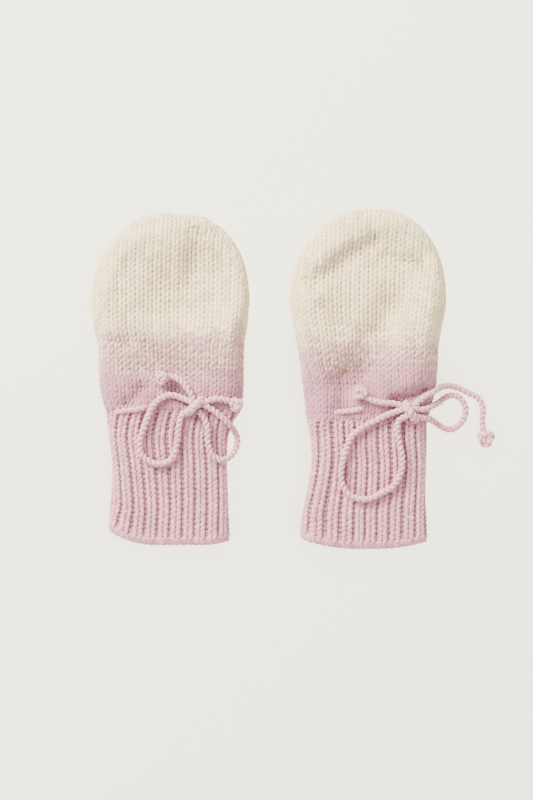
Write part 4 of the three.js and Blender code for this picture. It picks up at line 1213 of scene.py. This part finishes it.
# %% [markdown]
# ## The ground of the cloth
# Behind the front legs of the loops lie their heads and sinkers, so light hardly passes between stitches. A thin
# closed shell just under the loops stands for them, in the yarn's colour darkened as painted shade. It is the piece
# that takes the solid's place.

# %% Shells under the stitches
GROUND_DEPTH = 1.15
GROUND_INSIDE = 2.5
GROUND_GROOVE = 0.9
GROUND_POINTS = 160


def shell_rings(m, levels, inset, ribbed):
    rings = []
    for y in levels:
        ring = make_ring(m, y, inset)
        length = (np.arange(GROUND_POINTS) / GROUND_POINTS - 0.5) * ring["around"]
        points = ring_points(m, ring, length)
        if ribbed:
            turn = rib_at(m, y, ring["around"], length) * 2 * np.pi
            groove = GROUND_GROOVE * rib_fade(m, y) * (0.5 - 0.5 * np.cos(turn)) ** 2
            ahead, behind = ring_points(m, ring, length + 0.1), ring_points(m, ring, length - 0.1)
            side = unit(ahead - behind)
            out = np.stack([-side[:, 2], np.zeros(len(side)), side[:, 0]], axis=1)
            points = points - out * groove[:, None]
        rings.append(points)
    return rings


def shell_piece(m, name, outer, inner, material, tips=None):
    vertices = np.vstack(outer + inner)
    count, faces = GROUND_POINTS, []

    def join(a, b):
        for i in range(count):
            j = (i + 1) % count
            faces.append((a + i, a + j, b + j, b + i))

    starts = [i * count for i in range(len(outer) + len(inner))]
    out_starts, in_starts = starts[: len(outer)], starts[len(outer) :]
    for a, b in zip(out_starts, out_starts[1:]):
        join(a, b)
    for a, b in zip(in_starts, in_starts[1:]):
        join(b, a)
    join(in_starts[0], out_starts[0])
    if tips is None:
        join(out_starts[-1], in_starts[-1])
    else:
        vertices = np.vstack([vertices, tips])
        top, under = len(vertices) - 2, len(vertices) - 1
        for i in range(count):
            j = (i + 1) % count
            faces.append((out_starts[-1] + i, out_starts[-1] + j, top))
            faces.append((in_starts[-1] + j, in_starts[-1] + i, under))
    mesh = bpy.data.meshes.new(name)
    mesh.from_pydata([tuple(v) for v in place(m, vertices)], [], faces)
    mesh.materials.append(material)
    mesh.shade_smooth()
    piece = bpy.data.objects.new(f"{m['name']}_{name}", mesh)
    bpy.context.scene.collection.objects.link(piece)
    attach(piece, ROOT)
    return piece


# %% The ground's material, and the shells themselves
# The ground is the yarn's colour with random fuzz, darkened to the given shades: painted shade for the heads and
# sinkers that lie in the dark behind the loops.
def shaded_ground_material(name, upper, lower, shades):
    material, tree, shader = matt_material(name, 0.95, 0.1)
    coordinates = add_node(tree, "ShaderNodeTexCoord").outputs["Object"]
    inputs = {"Vector": coordinates, "Scale": 900.0, "Detail": 3.0}
    fuzz = add_node(tree, "ShaderNodeTexNoise", inputs).outputs[0]
    dyed = add_node(tree, "ShaderNodeGroup", node_tree=dye_group)
    dyed.inputs["Upper"].default_value = upper
    dyed.inputs["Lower"].default_value = lower
    tree.links.new(remap(tree, fuzz, 0.35, 0.65, 0.0, 1.0), dyed.inputs["Ply"])
    shade = remap(tree, fuzz, 0.2, 0.8, *shades)
    base = colour_mix(tree, "MULTIPLY", 1.0, dyed.outputs[0], grey(tree, shade))
    tree.links.new(base, shader.inputs["Base Color"])
    bump = add_node(tree, "ShaderNodeBump", {"Strength": 0.4, "Distance": 0.0003, "Height": fuzz})
    tree.links.new(bump.outputs[0], shader.inputs["Normal"])
    return material


hand_shaded_ground = shaded_ground_material("hand ground", CREAM, ROSE, (0.5, 0.72))
cuff_shaded_ground = shaded_ground_material("cuff ground", SHADED_PINK, SHADED_PINK, (0.62, 0.82))


for m in (LEFT, RIGHT):
    low, tip, dome_y = m["outline"][0][0], m["tip_y"], m["dome_y"]
    body = np.linspace(0.15, dome_y, 24, endpoint=False)
    rise = np.sin(np.linspace(0, np.pi / 2, 22, endpoint=False))
    tips = np.array([[0, tip - inset, FOLD_HEIGHT] for inset in (GROUND_DEPTH, GROUND_INSIDE)])
    dome = [np.concatenate([body, dome_y + rise * (tip - inset - dome_y)]) for inset in (GROUND_DEPTH, GROUND_INSIDE)]
    cuff = [np.linspace(low + 0.9, -0.15, 34)] * 2
    for part, slot, levels, ends, length, widest_at, ground in (
        ("hand", "cream_knit", dome, tips, tip, [dome_y], hand_shaded_ground),
        ("cuff", "pink_knit", cuff, None, -low, [low, -1], cuff_shaded_ground),
    ):
        outer = shell_rings(m, levels[0], GROUND_DEPTH, ribbed=part == "cuff")
        inner = shell_rings(m, levels[1], GROUND_INSIDE, ribbed=False)
        piece = shell_piece(m, f"{part}_cloth", outer, inner, ground, ends)
        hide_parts(f"{m['name']}_{part}")
        length, width = length * MM, max(make_ring(m, y)["around"] for y in widest_at) * MM

# %% [markdown]
# ## The cast-on edge
# The cuff starts with a soft cast-on edge that lies flat below the ribs. Three rounds of the same yarn, twisted as
# the maker's cast-on twists them, follow the mouth's curve. They wave a little from stitch to stitch, and rise a
# little where a rib starts.

# %% Cast-on rounds
CAST_ON_RISES = (0.95, 1.65, 2.35)
CAST_ON_SINK = 1.1
CAST_ON_WAVE = 0.12
CAST_ON_RIPPLE = 0.1
CAST_ON_POINTS = 260
CAST_ON_CORD = {"ply_radius": 0.0009, "twist_radius": 0.00018, "lay_length": 0.0048, "sides": 6}

for m in (LEFT, RIGHT):
    low = m["outline"][0][0]
    share = np.arange(CAST_ON_POINTS) / CAST_ON_POINTS
    for index, rise in enumerate(CAST_ON_RISES):
        ring = make_ring(m, low + rise)
        length = (share - 0.5) * ring["around"]
        here, side, up, out = cloth_frame(m, low + rise, length)
        wave = CAST_ON_WAVE * np.sin(share * 2 * np.pi * STITCHES)[:, None]
        ripple = CAST_ON_RIPPLE * np.cos(2 * np.pi * rib_at(m, low, ring["around"], length))[:, None]
        points = place(m, here - out * (CAST_ON_SINK - ripple) + up * wave)
        piece = line_object(f"{m['name']}_cast_on_{index + 1}", points, chain(CAST_ON_POINTS, closed=True))
        run_tree(piece, cord_tree, band_yarn, **CAST_ON_CORD)
        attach(piece, ROOT)

# %% [markdown]
# ## The table and the light
# The mittens lie on a plain pale grey table. The light is that of a bright studio: a very large soft lamp from
# the upper left, a weaker one from the lower right, and a bright surround, so that shadows are soft and pale.
#
# In the photograph the table was cleaned to one plain tone, while the mittens keep the shading of a lamp from the
# side. Light linking does the same: the window lamp shines on the mittens alone, and its twin on the table alone,
# with the mittens left out of what blocks it. The surround still makes the soft dark where wool meets table.

# %% The table
bpy.ops.mesh.primitive_plane_add(size=4.0, location=(0, 0, 0))
table = bpy.context.object
table.name = "table"
table_material, _, table_shader = matt_material("table", 0.9, 0.1)
table_shader.inputs["Base Color"].default_value = TABLE
table.data.materials.append(table_material)

# %% The lamps and the surround
def soft_lamp(name, place_at, size, power):
    data = bpy.data.lights.new(name, "AREA")
    data.shape = "DISK"
    data.size = size
    data.energy = power
    lamp = bpy.data.objects.new(name, data)
    lamp.location = place_at
    direction = -np.array(place_at, float)
    lamp.rotation_mode = "QUATERNION"
    lamp.rotation_quaternion = Vector(direction).to_track_quat("-Z", "Y")
    bpy.context.scene.collection.objects.link(lamp)
    return lamp


WINDOW = (-1.0, 1.1, 1.05)
WINDOW_SIZE = 1.1
WINDOW_POWER = 175.0

only_table = bpy.data.collections.new("only the table")
only_table.objects.link(table)
not_table = bpy.data.collections.new("all but the table")
not_table.objects.link(table)
not_table.collection_objects[0].light_linking.link_state = "EXCLUDE"

window = soft_lamp("window", WINDOW, WINDOW_SIZE, WINDOW_POWER)
window.light_linking.receiver_collection = not_table
table_light = soft_lamp("table light", WINDOW, WINDOW_SIZE, WINDOW_POWER)
table_light.light_linking.receiver_collection = only_table
table_light.light_linking.blocker_collection = only_table
soft_lamp("fill", (1.2, -0.9, 1.6), 1.6, 24.0)
print("window light on the mittens and, without shadows, on the table")

world = bpy.data.worlds.new("surround")
world.use_nodes = True
world.node_tree.nodes["Background"].inputs["Color"].default_value = (1.0, 0.995, 0.985, 1.0)
world.node_tree.nodes["Background"].inputs["Strength"].default_value = 1.5
bpy.context.scene.world = world
